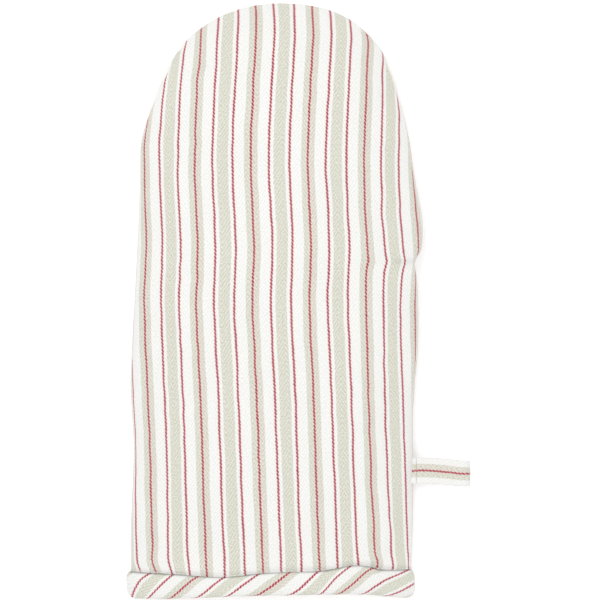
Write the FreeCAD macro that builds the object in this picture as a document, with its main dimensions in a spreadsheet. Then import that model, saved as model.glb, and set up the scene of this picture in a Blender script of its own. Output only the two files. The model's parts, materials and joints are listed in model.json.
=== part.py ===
"""Padded oven mitt with a tucked-under thumb, a bound cuff and a side hanging loop.

The mitt lies on its palm side with the back up. X runs across it, +Y points from the cuff to the
finger tips and +Z is up. Every wall is three plies: an outer shell, wadding and a lining. The palm is
a flat stack inside a shallow shell tray, and the back is an arch that stands on the tray's rim. The
hand half and the finger half meet at the fold line, level with the seam across the palm, and the
thumb pouch lies under the finger half with its mouth at that line.
"""
import FreeCAD, Part
import math
import os

import Sketcher
from FreeCAD import Vector

doc = FreeCAD.newDocument("oven_mitt")
sheet = doc.addObject("Spreadsheet::Sheet", "Sizes")

# Driving dimensions in millimetres, one spreadsheet row each.
DRIVING = {
    "mitt_length": 330.0,  # cuff edge to finger tip
    "half_width": 78.0,  # centre line to side seam
    "back_crown": 20.0,  # rise of the back above the palm stack
    "shell_ply": 0.6,
    "wadding_ply": 3.2,
    "lining_ply": 0.5,
    "binding_ply": 1.0,  # folded bias strip, one side
    "binding_depth": 13.5,
    "cuff_flat": 20.0,  # stretch at the cuff that lies flat
    "fold_at": 187.0,  # cuff edge to the seam across the palm
    "fold_gap": 0.5,  # between the hand half and the finger half
    "thumb_axis": 40.0,  # thumb's centre line from the mitt's
    "thumb_half_width": 33.0,
    "thumb_crown": 11.7,  # rise of the thumb's inner face above its outer stack
    "thumb_reach": 92.0,  # fold line to thumb tip
    "thumb_slope_run": 24.0,  # stretch in which the palm drops to the thumb's outer face
    "thumb_gap": 0.4,  # between the thumb and the palm above it
    "thumb_mouth_length": 32.0,  # fold line to the far side of the opening into the thumb
    "thumb_mouth_half_width": 23.0,
    "thumb_side_gap": 0.6,  # around the thumb where it passes through the palm
    "loop_at": 70.0,  # cuff edge to the loop's middle
    "loop_width": 14.5,
    "loop_reach": 31.5,  # side seam to the loop's far end
    "loop_ply": 1.2,
    "loop_eye_radius": 3.2,
    "loop_root_radius": 1.5,
    "loop_gap": 0.5,  # between the side seam and the loop that swings beside it
    "loop_tail_depth": 6.0,  # how far the loop's ends run into the side seam
    "thread_radius": 0.2,
    "thumb_thread_start": 1.0,  # fold line end of the thumb's stitching, clear of the back
    "ditch_thread_width": 0.6,
    "ditch_thread_height": 0.4,
}


class Size:
    """A spreadsheet number, or one worked out from such numbers, with the expression that gives it."""

    def __init__(self, value, text):
        self.value = value
        self.text = text

    def join(self, other, sign, value):
        """The size that this one makes with other, by the operator sign."""
        return Size(value, f"({self.text} {sign} {as_size(other).text})")

    def __add__(self, other):
        return self.join(other, "+", self.value + as_size(other).value)

    def __sub__(self, other):
        return self.join(other, "-", self.value - as_size(other).value)

    def __mul__(self, other):
        return self.join(other, "*", self.value * as_size(other).value)

    def __truediv__(self, other):
        return self.join(other, "/", self.value / as_size(other).value)

    def __neg__(self):
        return Size(-self.value, f"(-1 * {self.text})")


def as_size(number):
    """A plain number as a Size; a Size stays as it is."""
    return number if isinstance(number, Size) else Size(float(number), repr(float(number)))


def fill_sheet():
    """Writes the driving dimensions into the sheet and returns them as Sizes by name."""
    sizes = {}
    for row, (name, value) in enumerate(DRIVING.items(), start=1):
        sheet.set(f"A{row}", name)
        sheet.set(f"B{row}", str(value))
        sheet.setAlias(f"B{row}", name)
        sizes[name] = Size(value, f"Sizes.{name}")
    doc.recompute()
    return sizes


S = fill_sheet()
ZERO = as_size(0)

# Sizes that follow from the driving ones.
WALL = S["shell_ply"] + S["wadding_ply"] + S["lining_ply"]
WADDING_TOP = S["shell_ply"] + S["wadding_ply"]
THUMB_HEIGHT = WALL + S["thumb_crown"]
PALM_RISE = THUMB_HEIGHT + S["thumb_gap"]
HAND_START = S["binding_ply"]
HAND_END = S["fold_at"] - S["fold_gap"] / 2
FINGER_START = S["fold_at"] + S["fold_gap"] / 2
TIP_CENTRE = S["mitt_length"] - S["half_width"]
THUMB_ROOT = FINGER_START
THUMB_FLAT_START = S["fold_at"] + S["thumb_slope_run"]
THUMB_TIP_CENTRE = S["fold_at"] + S["thumb_reach"] - S["thumb_half_width"]
SLOPE_RUN = S["fold_at"] - S["cuff_flat"]
SLOPE_RISE = PALM_RISE - S["binding_ply"]
SEAM_LINE = S["half_width"] - S["thread_radius"] / 2
THUMB_SEAM_LINE = S["thumb_half_width"] - S["thread_radius"] / 2
SHIFT_X = (S["binding_ply"] - S["loop_reach"]) / 2
SHIFT_Y = -S["mitt_length"] / 2


def arch_radius(half_width, crown):
    """Radius of the arch that rises by crown over a chord of twice half_width."""
    return (half_width * half_width + crown * crown) / (crown * 2)


BACK_RADIUS = arch_radius(S["half_width"], S["back_crown"])
THUMB_RADIUS = arch_radius(S["thumb_half_width"], S["thumb_crown"])
BACK_CENTRE = WALL + S["back_crown"] - BACK_RADIUS
THUMB_CENTRE = WALL + S["thumb_crown"] - THUMB_RADIUS


def bind(thing, path, size):
    """Binds one property of a document object to a size."""
    thing.setExpression(path, size.text)


def new_body(name, compound=False):
    """A PartDesign body in the shared place, which may hold several solids if compound is set."""
    body = doc.addObject("PartDesign::Body", name)
    body.AllowCompound = compound
    bind(body, "Placement.Base.x", SHIFT_X)
    bind(body, "Placement.Base.y", SHIFT_Y)
    return body


def plane_of(body, role):
    """The body's own origin plane of that role."""
    return next(f for f in body.Origin.OriginFeatures if f.Role == role)


def section_sketch(body, name, x, height, station):
    """An empty upright cross-section sketch at a station along Y, its origin at x and height."""
    sketch = body.newObject("Sketcher::SketchObject", name)
    sketch.AttachmentSupport = [(plane_of(body, "XZ_Plane"), "")]
    sketch.MapMode = "FlatFace"
    bind(sketch, "AttachmentOffset.Base.x", x)
    bind(sketch, "AttachmentOffset.Base.y", height)
    bind(sketch, "AttachmentOffset.Base.z", -station)
    return sketch


def hold_x(sketch, geometry, point, size):
    """Fixes the x of a sketch point."""
    if size is ZERO:
        sketch.addConstraint(Sketcher.Constraint("PointOnObject", geometry, point, -2))
    else:
        index = sketch.addConstraint(Sketcher.Constraint("DistanceX", geometry, point, size.value))
        sketch.setExpression(f"Constraints[{index}]", size.text)


def hold_y(sketch, geometry, point, size):
    """Fixes the y of a sketch point."""
    if size is ZERO:
        sketch.addConstraint(Sketcher.Constraint("PointOnObject", geometry, point, -1))
    else:
        index = sketch.addConstraint(Sketcher.Constraint("DistanceY", geometry, point, size.value))
        sketch.setExpression(f"Constraints[{index}]", size.text)


def hold_radius(sketch, geometry, size):
    """Fixes the radius of a circle or an arc."""
    index = sketch.addConstraint(Sketcher.Constraint("Radius", geometry, size.value))
    sketch.setExpression(f"Constraints[{index}]", size.text)


def outline(sketch, corners):
    """A closed outline of straight lines through corners, each an (x, y) pair of Sizes."""
    spots = [Vector(x.value, y.value, 0) for x, y in corners]
    first = sketch.GeometryCount
    count = len(spots)
    for k in range(count):
        sketch.addGeometry(Part.LineSegment(spots[k], spots[(k + 1) % count]))
    for k in range(count):
        following = first + (k + 1) % count
        sketch.addConstraint(Sketcher.Constraint("Coincident", first + k, 2, following, 1))
        hold_x(sketch, first + k, 1, corners[k][0])
        hold_y(sketch, first + k, 1, corners[k][1])


def centred_arc(sketch, centre, radius, start, end):
    """An arc whose centre is held on the vertical axis. Angles only place it before its ends are held."""
    circle = Part.Circle(Vector(0, centre.value, 0), Vector(0, 0, 1), radius.value)
    arc = sketch.addGeometry(Part.ArcOfCircle(circle, start, end))
    sketch.addConstraint(Sketcher.Constraint("PointOnObject", arc, 3, -2))
    hold_y(sketch, arc, 3, centre)
    hold_radius(sketch, arc, radius)
    return arc


def arc_start_angle(centre, radius, foot):
    """The angle at which an arc passes the height foot, on the right."""
    return math.asin((foot.value - centre.value) / radius.value)


def draw_arch(sketch, centre, radius, depth, ply, half):
    """One ply of an arch between two concentric arcs that stand on the top of the flat stack.

    depth is the ply's outer face below the arch's own outer face. A half arch stops at the axis.
    """
    foot = WALL
    outer, inner = radius - depth, radius - depth - ply
    angles = [arc_start_angle(centre, r, foot) for r in (outer, inner)]
    ends = [math.pi / 2 if half else math.pi - a for a in angles]
    arcs = [centred_arc(sketch, centre, r, a, e) for r, a, e in zip((outer, inner), angles, ends)]
    geometry = [sketch.Geometry[a] for a in arcs]
    right = sketch.addGeometry(Part.LineSegment(geometry[0].StartPoint, geometry[1].StartPoint))
    left = sketch.addGeometry(Part.LineSegment(geometry[0].EndPoint, geometry[1].EndPoint))
    for arc, end in zip(arcs, (1, 2)):
        sketch.addConstraint(Sketcher.Constraint("Coincident", arc, 1, right, end))
        sketch.addConstraint(Sketcher.Constraint("Coincident", arc, 2, left, end))
        hold_y(sketch, right, end, foot)
        if half:
            hold_x(sketch, left, end, ZERO)
        else:
            hold_y(sketch, left, end, foot)


def draw_plate(sketch, half_width, low, high, half):
    """A flat ply: a rectangle about the axis, or its right half."""
    left = ZERO if half else -half_width
    outline(sketch, [(left, low), (half_width, low), (half_width, high), (left, high)])


def draw_tray(sketch, half_width, half):
    """The shell tray: a floor one ply thick with a rim as high as the whole stack."""
    ply, inside = S["shell_ply"], half_width - S["shell_ply"]
    right = [(half_width, ZERO), (half_width, WALL), (inside, WALL), (inside, ply)]
    if half:
        outline(sketch, [(ZERO, ZERO), *right, (ZERO, ply)])
    else:
        outline(sketch, [*right, *[(-x, y) for x, y in reversed(right)]])


def draw_threads(sketch, line, half):
    """The seam thread's section on each side, at line from the axis, or only on the right."""
    for side in (line,) if half else (line, -line):
        centre = Vector(side.value, WALL.value, 0)
        spot = sketch.addGeometry(Part.Circle(centre, Vector(0, 0, 1), S["thread_radius"].value))
        hold_x(sketch, spot, 3, side)
        hold_y(sketch, spot, 3, WALL)
        hold_radius(sketch, spot, S["thread_radius"])


def pad(body, sketch, length, rise=None, run=None):
    """Pads a section by length towards +Y, climbing by rise in each run if these are given."""
    feature = body.newObject("PartDesign::Pad", sketch.Name + "_pad")
    feature.Profile = sketch
    sketch.Visibility = False
    feature.UseCustomVector = True
    feature.AlongSketchNormal = True
    feature.Direction = Vector(0, 1, 0)
    if rise is not None:
        feature.Direction = Vector(0, run.value, rise.value)
        bind(feature, "Direction.y", run)
        bind(feature, "Direction.z", rise)
    bind(feature, "Length", length)
    return feature


def round_end(body, sketch):
    """Turns a half section by half a turn about its own upright axis, to make a rounded end."""
    feature = body.newObject("PartDesign::Revolution", sketch.Name + "_round")
    feature.Profile = sketch
    feature.ReferenceAxis = (sketch, ["V_Axis"])
    feature.Angle = 180
    return feature


def pocket_box(body, name, x, height, station, size):
    """Cuts a box away. x is its middle, height and station its lowest corner's, size its (x, y, z)."""
    sketch = section_sketch(body, name, x, height, station)
    half = size[0] / 2
    outline(sketch, [(-half, ZERO), (half, ZERO), (half, size[2]), (-half, size[2])])
    feature = body.newObject("PartDesign::Pocket", name + "_cut")
    feature.Profile = sketch
    feature.Reversed = False
    bind(feature, "Length", size[1])
    return feature


def hand_part(name, draw, compound=False):
    """A ply of the hand half: flat at the cuff, then climbing to the fold line."""
    body = new_body(name, compound)
    cuff = section_sketch(body, name + "_cuff", ZERO, S["binding_ply"], HAND_START)
    draw(cuff, half=False)
    pad(body, cuff, S["cuff_flat"] - HAND_START)
    slope = section_sketch(body, name + "_slope", ZERO, S["binding_ply"], S["cuff_flat"])
    draw(slope, half=False)
    pad(body, slope, HAND_END - S["cuff_flat"], SLOPE_RISE, SLOPE_RUN)
    return body


def finger_part(name, draw, compound=False):
    """A ply of the finger half: straight, with a half-round end."""
    body = new_body(name, compound)
    straight = section_sketch(body, name + "_straight", ZERO, PALM_RISE, FINGER_START)
    draw(straight, half=False)
    pad(body, straight, TIP_CENTRE - FINGER_START)
    tip = section_sketch(body, name + "_tip", ZERO, PALM_RISE, TIP_CENTRE)
    draw(tip, half=True)
    round_end(body, tip)
    return body


def thumb_outer_part(name, draw, skip=ZERO, compound=False):
    """A ply of the thumb's outer face: it leaves the lower palm, drops to the rest and runs to the tip.

    skip leaves out that much of it beside the fold line.
    """
    body = new_body(name, compound)
    drop_run = THUMB_FLAT_START - THUMB_ROOT
    start_height = PALM_RISE - skip * PALM_RISE / drop_run
    slope = section_sketch(body, name + "_slope", S["thumb_axis"], start_height, THUMB_ROOT + skip)
    draw(slope, half=False)
    pad(body, slope, drop_run - skip, -PALM_RISE, drop_run)
    flat = section_sketch(body, name + "_flat", S["thumb_axis"], ZERO, THUMB_FLAT_START)
    draw(flat, half=False)
    pad(body, flat, THUMB_TIP_CENTRE - THUMB_FLAT_START)
    tip = section_sketch(body, name + "_tip", S["thumb_axis"], ZERO, THUMB_TIP_CENTRE)
    draw(tip, half=True)
    round_end(body, tip)
    return body


def thumb_inner_part(name, draw):
    """A ply of the thumb's inner face, open at its mouth and trimmed to the dropping outer face."""
    body = new_body(name)
    straight = section_sketch(body, name + "_straight", S["thumb_axis"], ZERO, THUMB_ROOT)
    draw(straight, half=False)
    pad(body, straight, THUMB_TIP_CENTRE - THUMB_ROOT)
    tip = section_sketch(body, name + "_tip", S["thumb_axis"], ZERO, THUMB_TIP_CENTRE)
    draw(tip, half=True)
    round_end(body, tip)
    trim_to_slope(body, name)
    mouth_end = S["fold_at"] + S["thumb_mouth_length"] - THUMB_ROOT
    size = (S["thumb_mouth_half_width"] * 2, mouth_end, THUMB_HEIGHT)
    pocket_box(body, name + "_mouth", S["thumb_axis"], WALL, THUMB_ROOT, size)
    return body


def trim_to_slope(body, name):
    """Cuts away what lies below the top of the thumb's dropping outer stack."""
    sketch = body.newObject("Sketcher::SketchObject", name + "_wedge")
    sketch.AttachmentSupport = [(plane_of(body, "YZ_Plane"), "")]
    sketch.MapMode = "FlatFace"
    bind(sketch, "AttachmentOffset.Base.z", S["thumb_axis"])
    top = PALM_RISE + WALL
    outline(sketch, [(THUMB_ROOT, ZERO), (THUMB_FLAT_START, ZERO), (THUMB_FLAT_START, WALL), (THUMB_ROOT, top)])
    feature = body.newObject("PartDesign::Pocket", name + "_wedge_cut")
    feature.Profile = sketch
    feature.Midplane = True
    bind(feature, "Length", S["thumb_half_width"] * 2 + WALL)


def cut_palm_mouth(body, name):
    """Opens the upper palm where the thumb passes through it."""
    width = (S["thumb_half_width"] + S["thumb_side_gap"]) * 2
    length = S["fold_at"] + S["thumb_mouth_length"] - FINGER_START
    pocket_box(body, name + "_mouth", S["thumb_axis"], PALM_RISE, FINGER_START, (width, length, WALL))


def binding_ring_outline(sketch, spread):
    """The mitt's outer section, larger by spread all round."""
    side = S["half_width"] + spread
    radius = BACK_RADIUS + spread
    angle = math.acos(side.value / radius.value)
    arc = centred_arc(sketch, BACK_CENTRE, radius, angle, math.pi - angle)
    low = ZERO if spread is ZERO else -spread
    start, end = sketch.Geometry[arc].StartPoint, sketch.Geometry[arc].EndPoint
    corners = [start, Vector(side.value, low.value, 0), Vector(-side.value, low.value, 0), end]
    lines = [sketch.addGeometry(Part.LineSegment(a, b)) for a, b in zip(corners, corners[1:])]
    sketch.addConstraint(Sketcher.Constraint("Coincident", arc, 1, lines[0], 1))
    sketch.addConstraint(Sketcher.Constraint("Coincident", lines[0], 2, lines[1], 1))
    sketch.addConstraint(Sketcher.Constraint("Coincident", lines[1], 2, lines[2], 1))
    sketch.addConstraint(Sketcher.Constraint("Coincident", lines[2], 2, arc, 2))
    hold_x(sketch, lines[0], 1, side)
    hold_x(sketch, lines[1], 1, side)
    hold_y(sketch, lines[1], 1, low)
    hold_x(sketch, lines[1], 2, -side)
    hold_y(sketch, lines[1], 2, low)
    hold_x(sketch, lines[2], 2, -side)


def cavity_outline(sketch, inset):
    """The hollow's section at the cuff, smaller by inset all round."""
    radius = BACK_RADIUS - WALL - inset
    foot = WALL + inset
    angle = arc_start_angle(BACK_CENTRE, radius, foot)
    arc = centred_arc(sketch, BACK_CENTRE, radius, angle, math.pi - angle)
    start, end = sketch.Geometry[arc].StartPoint, sketch.Geometry[arc].EndPoint
    floor = sketch.addGeometry(Part.LineSegment(end, start))
    sketch.addConstraint(Sketcher.Constraint("Coincident", arc, 2, floor, 1))
    sketch.addConstraint(Sketcher.Constraint("Coincident", floor, 2, arc, 1))
    hold_y(sketch, floor, 1, foot)
    hold_y(sketch, floor, 2, foot)


def make_binding():
    """The bias strip folded over the cuff's raw edge, outside and inside."""
    body = new_body("cuff_binding_body")
    strip = section_sketch(body, "binding_strip", ZERO, S["binding_ply"], ZERO)
    binding_ring_outline(strip, S["binding_ply"])
    cavity_outline(strip, S["binding_ply"])
    pad(body, strip, S["binding_depth"])
    slot = section_sketch(body, "binding_slot", ZERO, S["binding_ply"], HAND_START)
    binding_ring_outline(slot, ZERO)
    cavity_outline(slot, ZERO)
    feature = body.newObject("PartDesign::Pocket", "binding_slot_cut")
    feature.Profile = slot
    bind(feature, "Length", S["binding_depth"] - HAND_START)
    return body


def make_binding_thread():
    """The row of stitching in the ditch beside the binding."""
    body = new_body("binding_thread_body")
    ring = section_sketch(body, "binding_thread_ring", ZERO, S["binding_ply"], S["binding_depth"])
    binding_ring_outline(ring, S["ditch_thread_height"])
    binding_ring_outline(ring, ZERO)
    pad(body, ring, S["ditch_thread_width"])
    return body


def draw_loop_outline(sketch, root_x, root_radius, end_x, end_radius):
    """Two tangent lines between a small root circle and the loop's round end."""
    lean = math.asin((end_radius.value - root_radius.value) / (end_x.value - root_x.value))
    top = math.pi / 2 + lean
    root = Part.Circle(Vector(root_x.value, 0, 0), Vector(0, 0, 1), root_radius.value)
    end = Part.Circle(Vector(end_x.value, 0, 0), Vector(0, 0, 1), end_radius.value)
    back = sketch.addGeometry(Part.ArcOfCircle(root, top, 2 * math.pi - top))
    front = sketch.addGeometry(Part.ArcOfCircle(end, -top, top))
    shapes = [sketch.Geometry[k] for k in (back, front)]
    upper = sketch.addGeometry(Part.LineSegment(shapes[0].StartPoint, shapes[1].EndPoint))
    lower = sketch.addGeometry(Part.LineSegment(shapes[0].EndPoint, shapes[1].StartPoint))
    for arc, arc_end, line, line_end in (
        (back, 1, upper, 1),
        (front, 2, upper, 2),
        (back, 2, lower, 1),
        (front, 1, lower, 2),
    ):
        sketch.addConstraint(Sketcher.Constraint("Tangent", arc, arc_end, line, line_end))
    for arc, x, radius in ((back, root_x, root_radius), (front, end_x, end_radius)):
        hold_x(sketch, arc, 3, x)
        hold_y(sketch, arc, 3, ZERO)
        hold_radius(sketch, arc, radius)


def make_hanging_loop():
    """The folded strip that hangs the mitt up: two plies that part into an eye."""
    body = new_body("hanging_loop_body")
    root = S["half_width"] + S["loop_gap"] + S["loop_root_radius"]
    height = slope_height(S["loop_at"]) + WALL
    start = S["loop_at"] - S["loop_width"] / 2
    outer_radius = S["loop_eye_radius"] + S["loop_ply"]
    end = S["half_width"] + S["loop_reach"] - outer_radius
    band = section_sketch(body, "loop_band", ZERO, height, start)
    draw_loop_outline(band, root, S["loop_root_radius"], end, outer_radius)
    pinch = S["loop_root_radius"] - S["loop_ply"]
    eye_start = root + S["loop_root_radius"]
    draw_loop_outline(band, eye_start, pinch, end, S["loop_eye_radius"])
    pad(body, band, S["loop_width"])
    return body


def slope_height(station):
    """The palm's underside at a station between the flat cuff and the fold line."""
    return S["binding_ply"] + (station - S["cuff_flat"]) / SLOPE_RUN * SLOPE_RISE


def make_loop_tail():
    """The loop's two ends, pressed flat in the side seam on top of the palm's stack."""
    body = new_body("loop_tail_body")
    start = S["loop_at"] - S["loop_width"] / 2
    strip = section_sketch(body, "loop_tail", ZERO, slope_height(start), start)
    inner, low = S["half_width"] - S["loop_tail_depth"], WADDING_TOP
    edge = S["half_width"]
    outline(strip, [(inner, low), (edge, low), (edge, WALL), (inner, WALL)])
    pad(body, strip, S["loop_width"], SLOPE_RISE, SLOPE_RUN)
    return body


def make_palm_thread():
    """The stitching of the seam across the palm, inside the shell at the fold line."""
    thread = doc.addObject("Part::Cylinder", "palm_thread_rod")
    bind(thread, "Radius", S["thread_radius"])
    bind(thread, "Height", (SEAM_LINE - S["shell_ply"]) * 2)
    thread.Placement = FreeCAD.Placement(Vector(), FreeCAD.Rotation(Vector(0, 1, 0), 90))
    station = HAND_END - S["shell_ply"] / 2
    bind(thread, "Placement.Base.x", SHIFT_X + S["shell_ply"] - SEAM_LINE)
    bind(thread, "Placement.Base.y", SHIFT_Y + station)
    bind(thread, "Placement.Base.z", slope_height(station) + S["shell_ply"] / 2)
    return thread


def without(base, tool):
    """base with the room that tool takes cut out of it."""
    feature = doc.addObject("Part::Cut", f"{base.Name}_less_{tool.Name}")
    feature.Base = base
    feature.Tool = tool
    return feature


def back_ply(depth, ply):
    """A function that draws that ply of the back arch."""
    return lambda sketch, half: draw_arch(sketch, BACK_CENTRE, BACK_RADIUS, depth, ply, half)


def palm_ply(low, high):
    """A function that draws that ply of the palm stack, inside the shell tray."""
    inside = S["half_width"] - S["shell_ply"]
    return lambda sketch, half: draw_plate(sketch, inside, low, high, half)


def thumb_inner_ply(depth, ply):
    """A function that draws that ply of the thumb's arched inner face."""
    return lambda sketch, half: draw_arch(sketch, THUMB_CENTRE, THUMB_RADIUS, depth, ply, half)


def thumb_outer_ply(low, high):
    """A function that draws that ply of the thumb's flat outer stack."""
    inside = S["thumb_half_width"] - S["shell_ply"]
    return lambda sketch, half: draw_plate(sketch, inside, low, high, half)


def side_threads(sketch, half):
    """The side seam's stitching."""
    draw_threads(sketch, SEAM_LINE, half)


def thumb_threads(sketch, half):
    """The thumb seam's stitching."""
    draw_threads(sketch, THUMB_SEAM_LINE, half)


def palm_tray(sketch, half):
    """The palm's shell."""
    draw_tray(sketch, S["half_width"], half)


def thumb_tray(sketch, half):
    """The shell of the thumb's outer face."""
    draw_tray(sketch, S["thumb_half_width"], half)


def make_back(parts):
    """The three plies of the back, in two halves."""
    depth = ZERO
    for ply in ("shell", "wadding", "lining"):
        draw = back_ply(depth, S[f"{ply}_ply"])
        parts[f"back_{ply}_cuff_half"] = hand_part(f"back_{ply}_hand", draw)
        parts[f"back_{ply}_finger_half"] = finger_part(f"back_{ply}_fingers", draw)
        depth = depth + S[f"{ply}_ply"]


def make_palm(parts):
    """The three plies of the palm: the cuff half, and the finger half with its thumb mouth."""
    draws = {"shell": palm_tray, "wadding": palm_ply(S["shell_ply"], WADDING_TOP)}
    draws["lining"] = palm_ply(WADDING_TOP, WALL)
    for ply, draw in draws.items():
        parts[f"palm_{ply}_cuff_half"] = hand_part(f"palm_{ply}_hand", draw)
        finger_half = finger_part(f"palm_{ply}_fingers", draw)
        cut_palm_mouth(finger_half, f"palm_{ply}_fingers")
        parts[f"palm_{ply}_finger_half"] = finger_half


def make_thumb(parts):
    """The thumb's inner face, its outer face and the stitching between them."""
    depth = ZERO
    for ply in ("shell", "wadding", "lining"):
        draw = thumb_inner_ply(depth, S[f"{ply}_ply"])
        parts[f"thumb_inner_{ply}"] = thumb_inner_part(f"thumb_inner_{ply}_body", draw)
        depth = depth + S[f"{ply}_ply"]
    draws = {"shell": thumb_tray, "wadding": thumb_outer_ply(S["shell_ply"], WADDING_TOP)}
    draws["lining"] = thumb_outer_ply(WADDING_TOP, WALL)
    for ply, draw in draws.items():
        parts[f"thumb_outer_{ply}"] = thumb_outer_part(f"thumb_outer_{ply}_body", draw)
    skip = S["thumb_thread_start"]
    parts["thumb_seam_thread"] = thumb_outer_part("thumb_thread", thumb_threads, skip, compound=True)


def make_room(parts):
    """Sinks each row of stitching and the loop's ends into the plies that hold them."""
    sunk = {
        "loop_tail": ("palm_shell_cuff_half", "palm_lining_cuff_half"),
        "side_seam_thread_cuff_half": (
            "back_shell_cuff_half",
            "palm_shell_cuff_half",
            "loop_tail",
            "cuff_binding",
            "cuff_binding_thread",
        ),
        "side_seam_thread_finger_half": ("back_shell_finger_half", "palm_shell_finger_half"),
        "palm_seam_thread": ("palm_shell_cuff_half",),
        "thumb_seam_thread": ("thumb_outer_shell", "thumb_inner_shell"),
    }
    for name, holders in sunk.items():
        for holder in holders:
            parts[holder] = without(parts[holder], parts[name])


def make_parts():
    """Builds every sub-part and returns the finished document objects by node name."""
    parts = {}
    make_back(parts)
    make_palm(parts)
    make_thumb(parts)
    parts["side_seam_thread_cuff_half"] = hand_part("side_thread_hand", side_threads, compound=True)
    parts["side_seam_thread_finger_half"] = finger_part("side_thread_fingers", side_threads, compound=True)
    parts["palm_seam_thread"] = make_palm_thread()
    parts["cuff_binding"] = make_binding()
    parts["cuff_binding_thread"] = make_binding_thread()
    parts["loop_tail"] = make_loop_tail()
    parts["hanging_loop"] = make_hanging_loop()
    make_room(parts)
    doc.recompute()
    return parts


def check_features():
    """Stops if any object failed, or if any pocket took nothing away."""
    failed = [o.Name for o in doc.Objects if {"Invalid", "Error"} & set(o.State)]
    idle = [
        o.Name
        for o in doc.Objects
        if o.TypeId == "PartDesign::Pocket" and o.Shape.Volume >= o.BaseFeature.Shape.Volume
    ]
    if failed or idle:
        raise SystemExit(f"failed objects: {failed}, pockets that cut nothing: {idle}")


def check_and_write(parts):
    """Stops if any sub-part isn't sound, then writes one STEP file a node."""
    for name, thing in parts.items():
        thing.Label = name
        shape = thing.Shape
        if shape.isNull() or not shape.isValid() or not shape.Solids:
            raise SystemExit(f"{name} has no sound shape")
    os.makedirs("parts", exist_ok=True)
    for name, thing in parts.items():
        thing.Shape.exportStep(os.path.join("parts", name + ".step"))
        box = thing.Shape.BoundBox
        print(
            f"{name}: {len(thing.Shape.Solids)} solid, {thing.Shape.Volume:.1f} mm3, "
            f"x {box.XMin:.2f}..{box.XMax:.2f} y {box.YMin:.2f}..{box.YMax:.2f} "
            f"z {box.ZMin:.2f}..{box.ZMax:.2f}"
        )


finished = make_parts()
check_features()
check_and_write(finished)
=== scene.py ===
"""A padded oven mitt in striped herringbone cotton, lying on its palm with its thumb tucked under.

The mitt is built as it is sewn: each cloth is a flat cut that is laid over the padding, relaxed as
cloth, and given its own thread-true pattern. X runs across the mitt, +Y points to the finger tips.
"""
import json
import logging
import math
from dataclasses import dataclass, field
from enum import Enum
from typing import Callable, Iterable, Sequence

import bmesh
import bpy
import numpy as np
from mathutils import Matrix, Vector


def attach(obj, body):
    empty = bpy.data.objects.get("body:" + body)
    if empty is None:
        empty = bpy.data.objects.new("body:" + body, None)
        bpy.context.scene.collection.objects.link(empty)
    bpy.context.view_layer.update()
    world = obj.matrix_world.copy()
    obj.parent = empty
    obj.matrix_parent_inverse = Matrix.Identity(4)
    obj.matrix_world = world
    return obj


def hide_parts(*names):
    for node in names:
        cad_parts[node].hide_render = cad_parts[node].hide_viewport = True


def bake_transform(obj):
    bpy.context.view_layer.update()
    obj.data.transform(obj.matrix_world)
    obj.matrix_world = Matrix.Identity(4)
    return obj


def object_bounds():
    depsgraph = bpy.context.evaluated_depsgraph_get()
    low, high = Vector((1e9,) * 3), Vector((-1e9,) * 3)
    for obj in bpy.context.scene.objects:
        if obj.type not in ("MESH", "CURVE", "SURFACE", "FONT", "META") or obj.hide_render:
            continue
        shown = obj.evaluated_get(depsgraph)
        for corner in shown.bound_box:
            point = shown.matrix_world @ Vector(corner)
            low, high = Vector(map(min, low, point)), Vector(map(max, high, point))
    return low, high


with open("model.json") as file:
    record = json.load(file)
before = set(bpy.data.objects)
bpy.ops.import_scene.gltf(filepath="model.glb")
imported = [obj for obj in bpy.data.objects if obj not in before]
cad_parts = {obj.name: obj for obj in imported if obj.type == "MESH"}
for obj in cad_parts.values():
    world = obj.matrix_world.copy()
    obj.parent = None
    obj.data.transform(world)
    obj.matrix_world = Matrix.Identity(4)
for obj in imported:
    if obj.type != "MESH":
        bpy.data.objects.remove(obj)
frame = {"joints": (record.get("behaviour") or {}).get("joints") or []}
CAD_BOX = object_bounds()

LOG = logging.getLogger("oven_mitt")
MM = 0.001
Array = np.ndarray


class Body(str, Enum):
    """The bodies that move."""

    HAND = "hand"
    FINGERS = "fingers"
    THUMB = "thumb"
    LOOP = "loop"


class Slot(str, Enum):
    """The record's material slots."""

    TWILL = "striped_twill"
    BINDING = "bias_binding"
    LOOP = "loop_strip"
    LINING = "lining"
    WADDING = "wadding"
    THREAD = "thread"


class Curve:
    """A smooth line through a few chosen points."""

    def __init__(self, points: Sequence[tuple[float, float]]) -> None:
        """Works out the slope at each point.

        Args:
            points: pairs of place and value, in order of place.
        """
        self.place, self.value = (np.array(c, float) for c in zip(*points))
        step, rise = np.diff(self.place), np.diff(self.value)
        inner = (rise[1:] + rise[:-1]) / (step[1:] + step[:-1])
        self.slope = np.concatenate([[rise[0] / step[0]], inner, [rise[-1] / step[-1]]])

    def __call__(self, where: Array | float) -> Array:
        """The value at any place, held level past both ends.

        Args:
            where: the places to read.

        Returns:
            The values there.
        """
        at = np.clip(np.asarray(where, float), self.place[0], self.place[-1])
        k = np.clip(np.searchsorted(self.place, at, side="right") - 1, 0, len(self.place) - 2)
        step = self.place[k + 1] - self.place[k]
        u = (at - self.place[k]) / step
        near = (1 + 2 * u) * (1 - u) ** 2 * self.value[k] + u * (1 - u) ** 2 * step * self.slope[k]
        far = u * u * (3 - 2 * u) * self.value[k + 1] + u * u * (u - 1) * step * self.slope[k + 1]
        return near + far


def ease(low: float, high: float, where: Array) -> Array:
    """A smooth step.

    Args:
        low: where it starts to rise from 0.
        high: where it reaches 1.
        where: the places to read.

    Returns:
        Values from 0 to 1.
    """
    u = np.clip((np.asarray(where, float) - low) / (high - low), 0, 1)
    return u * u * (3 - 2 * u)


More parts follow.
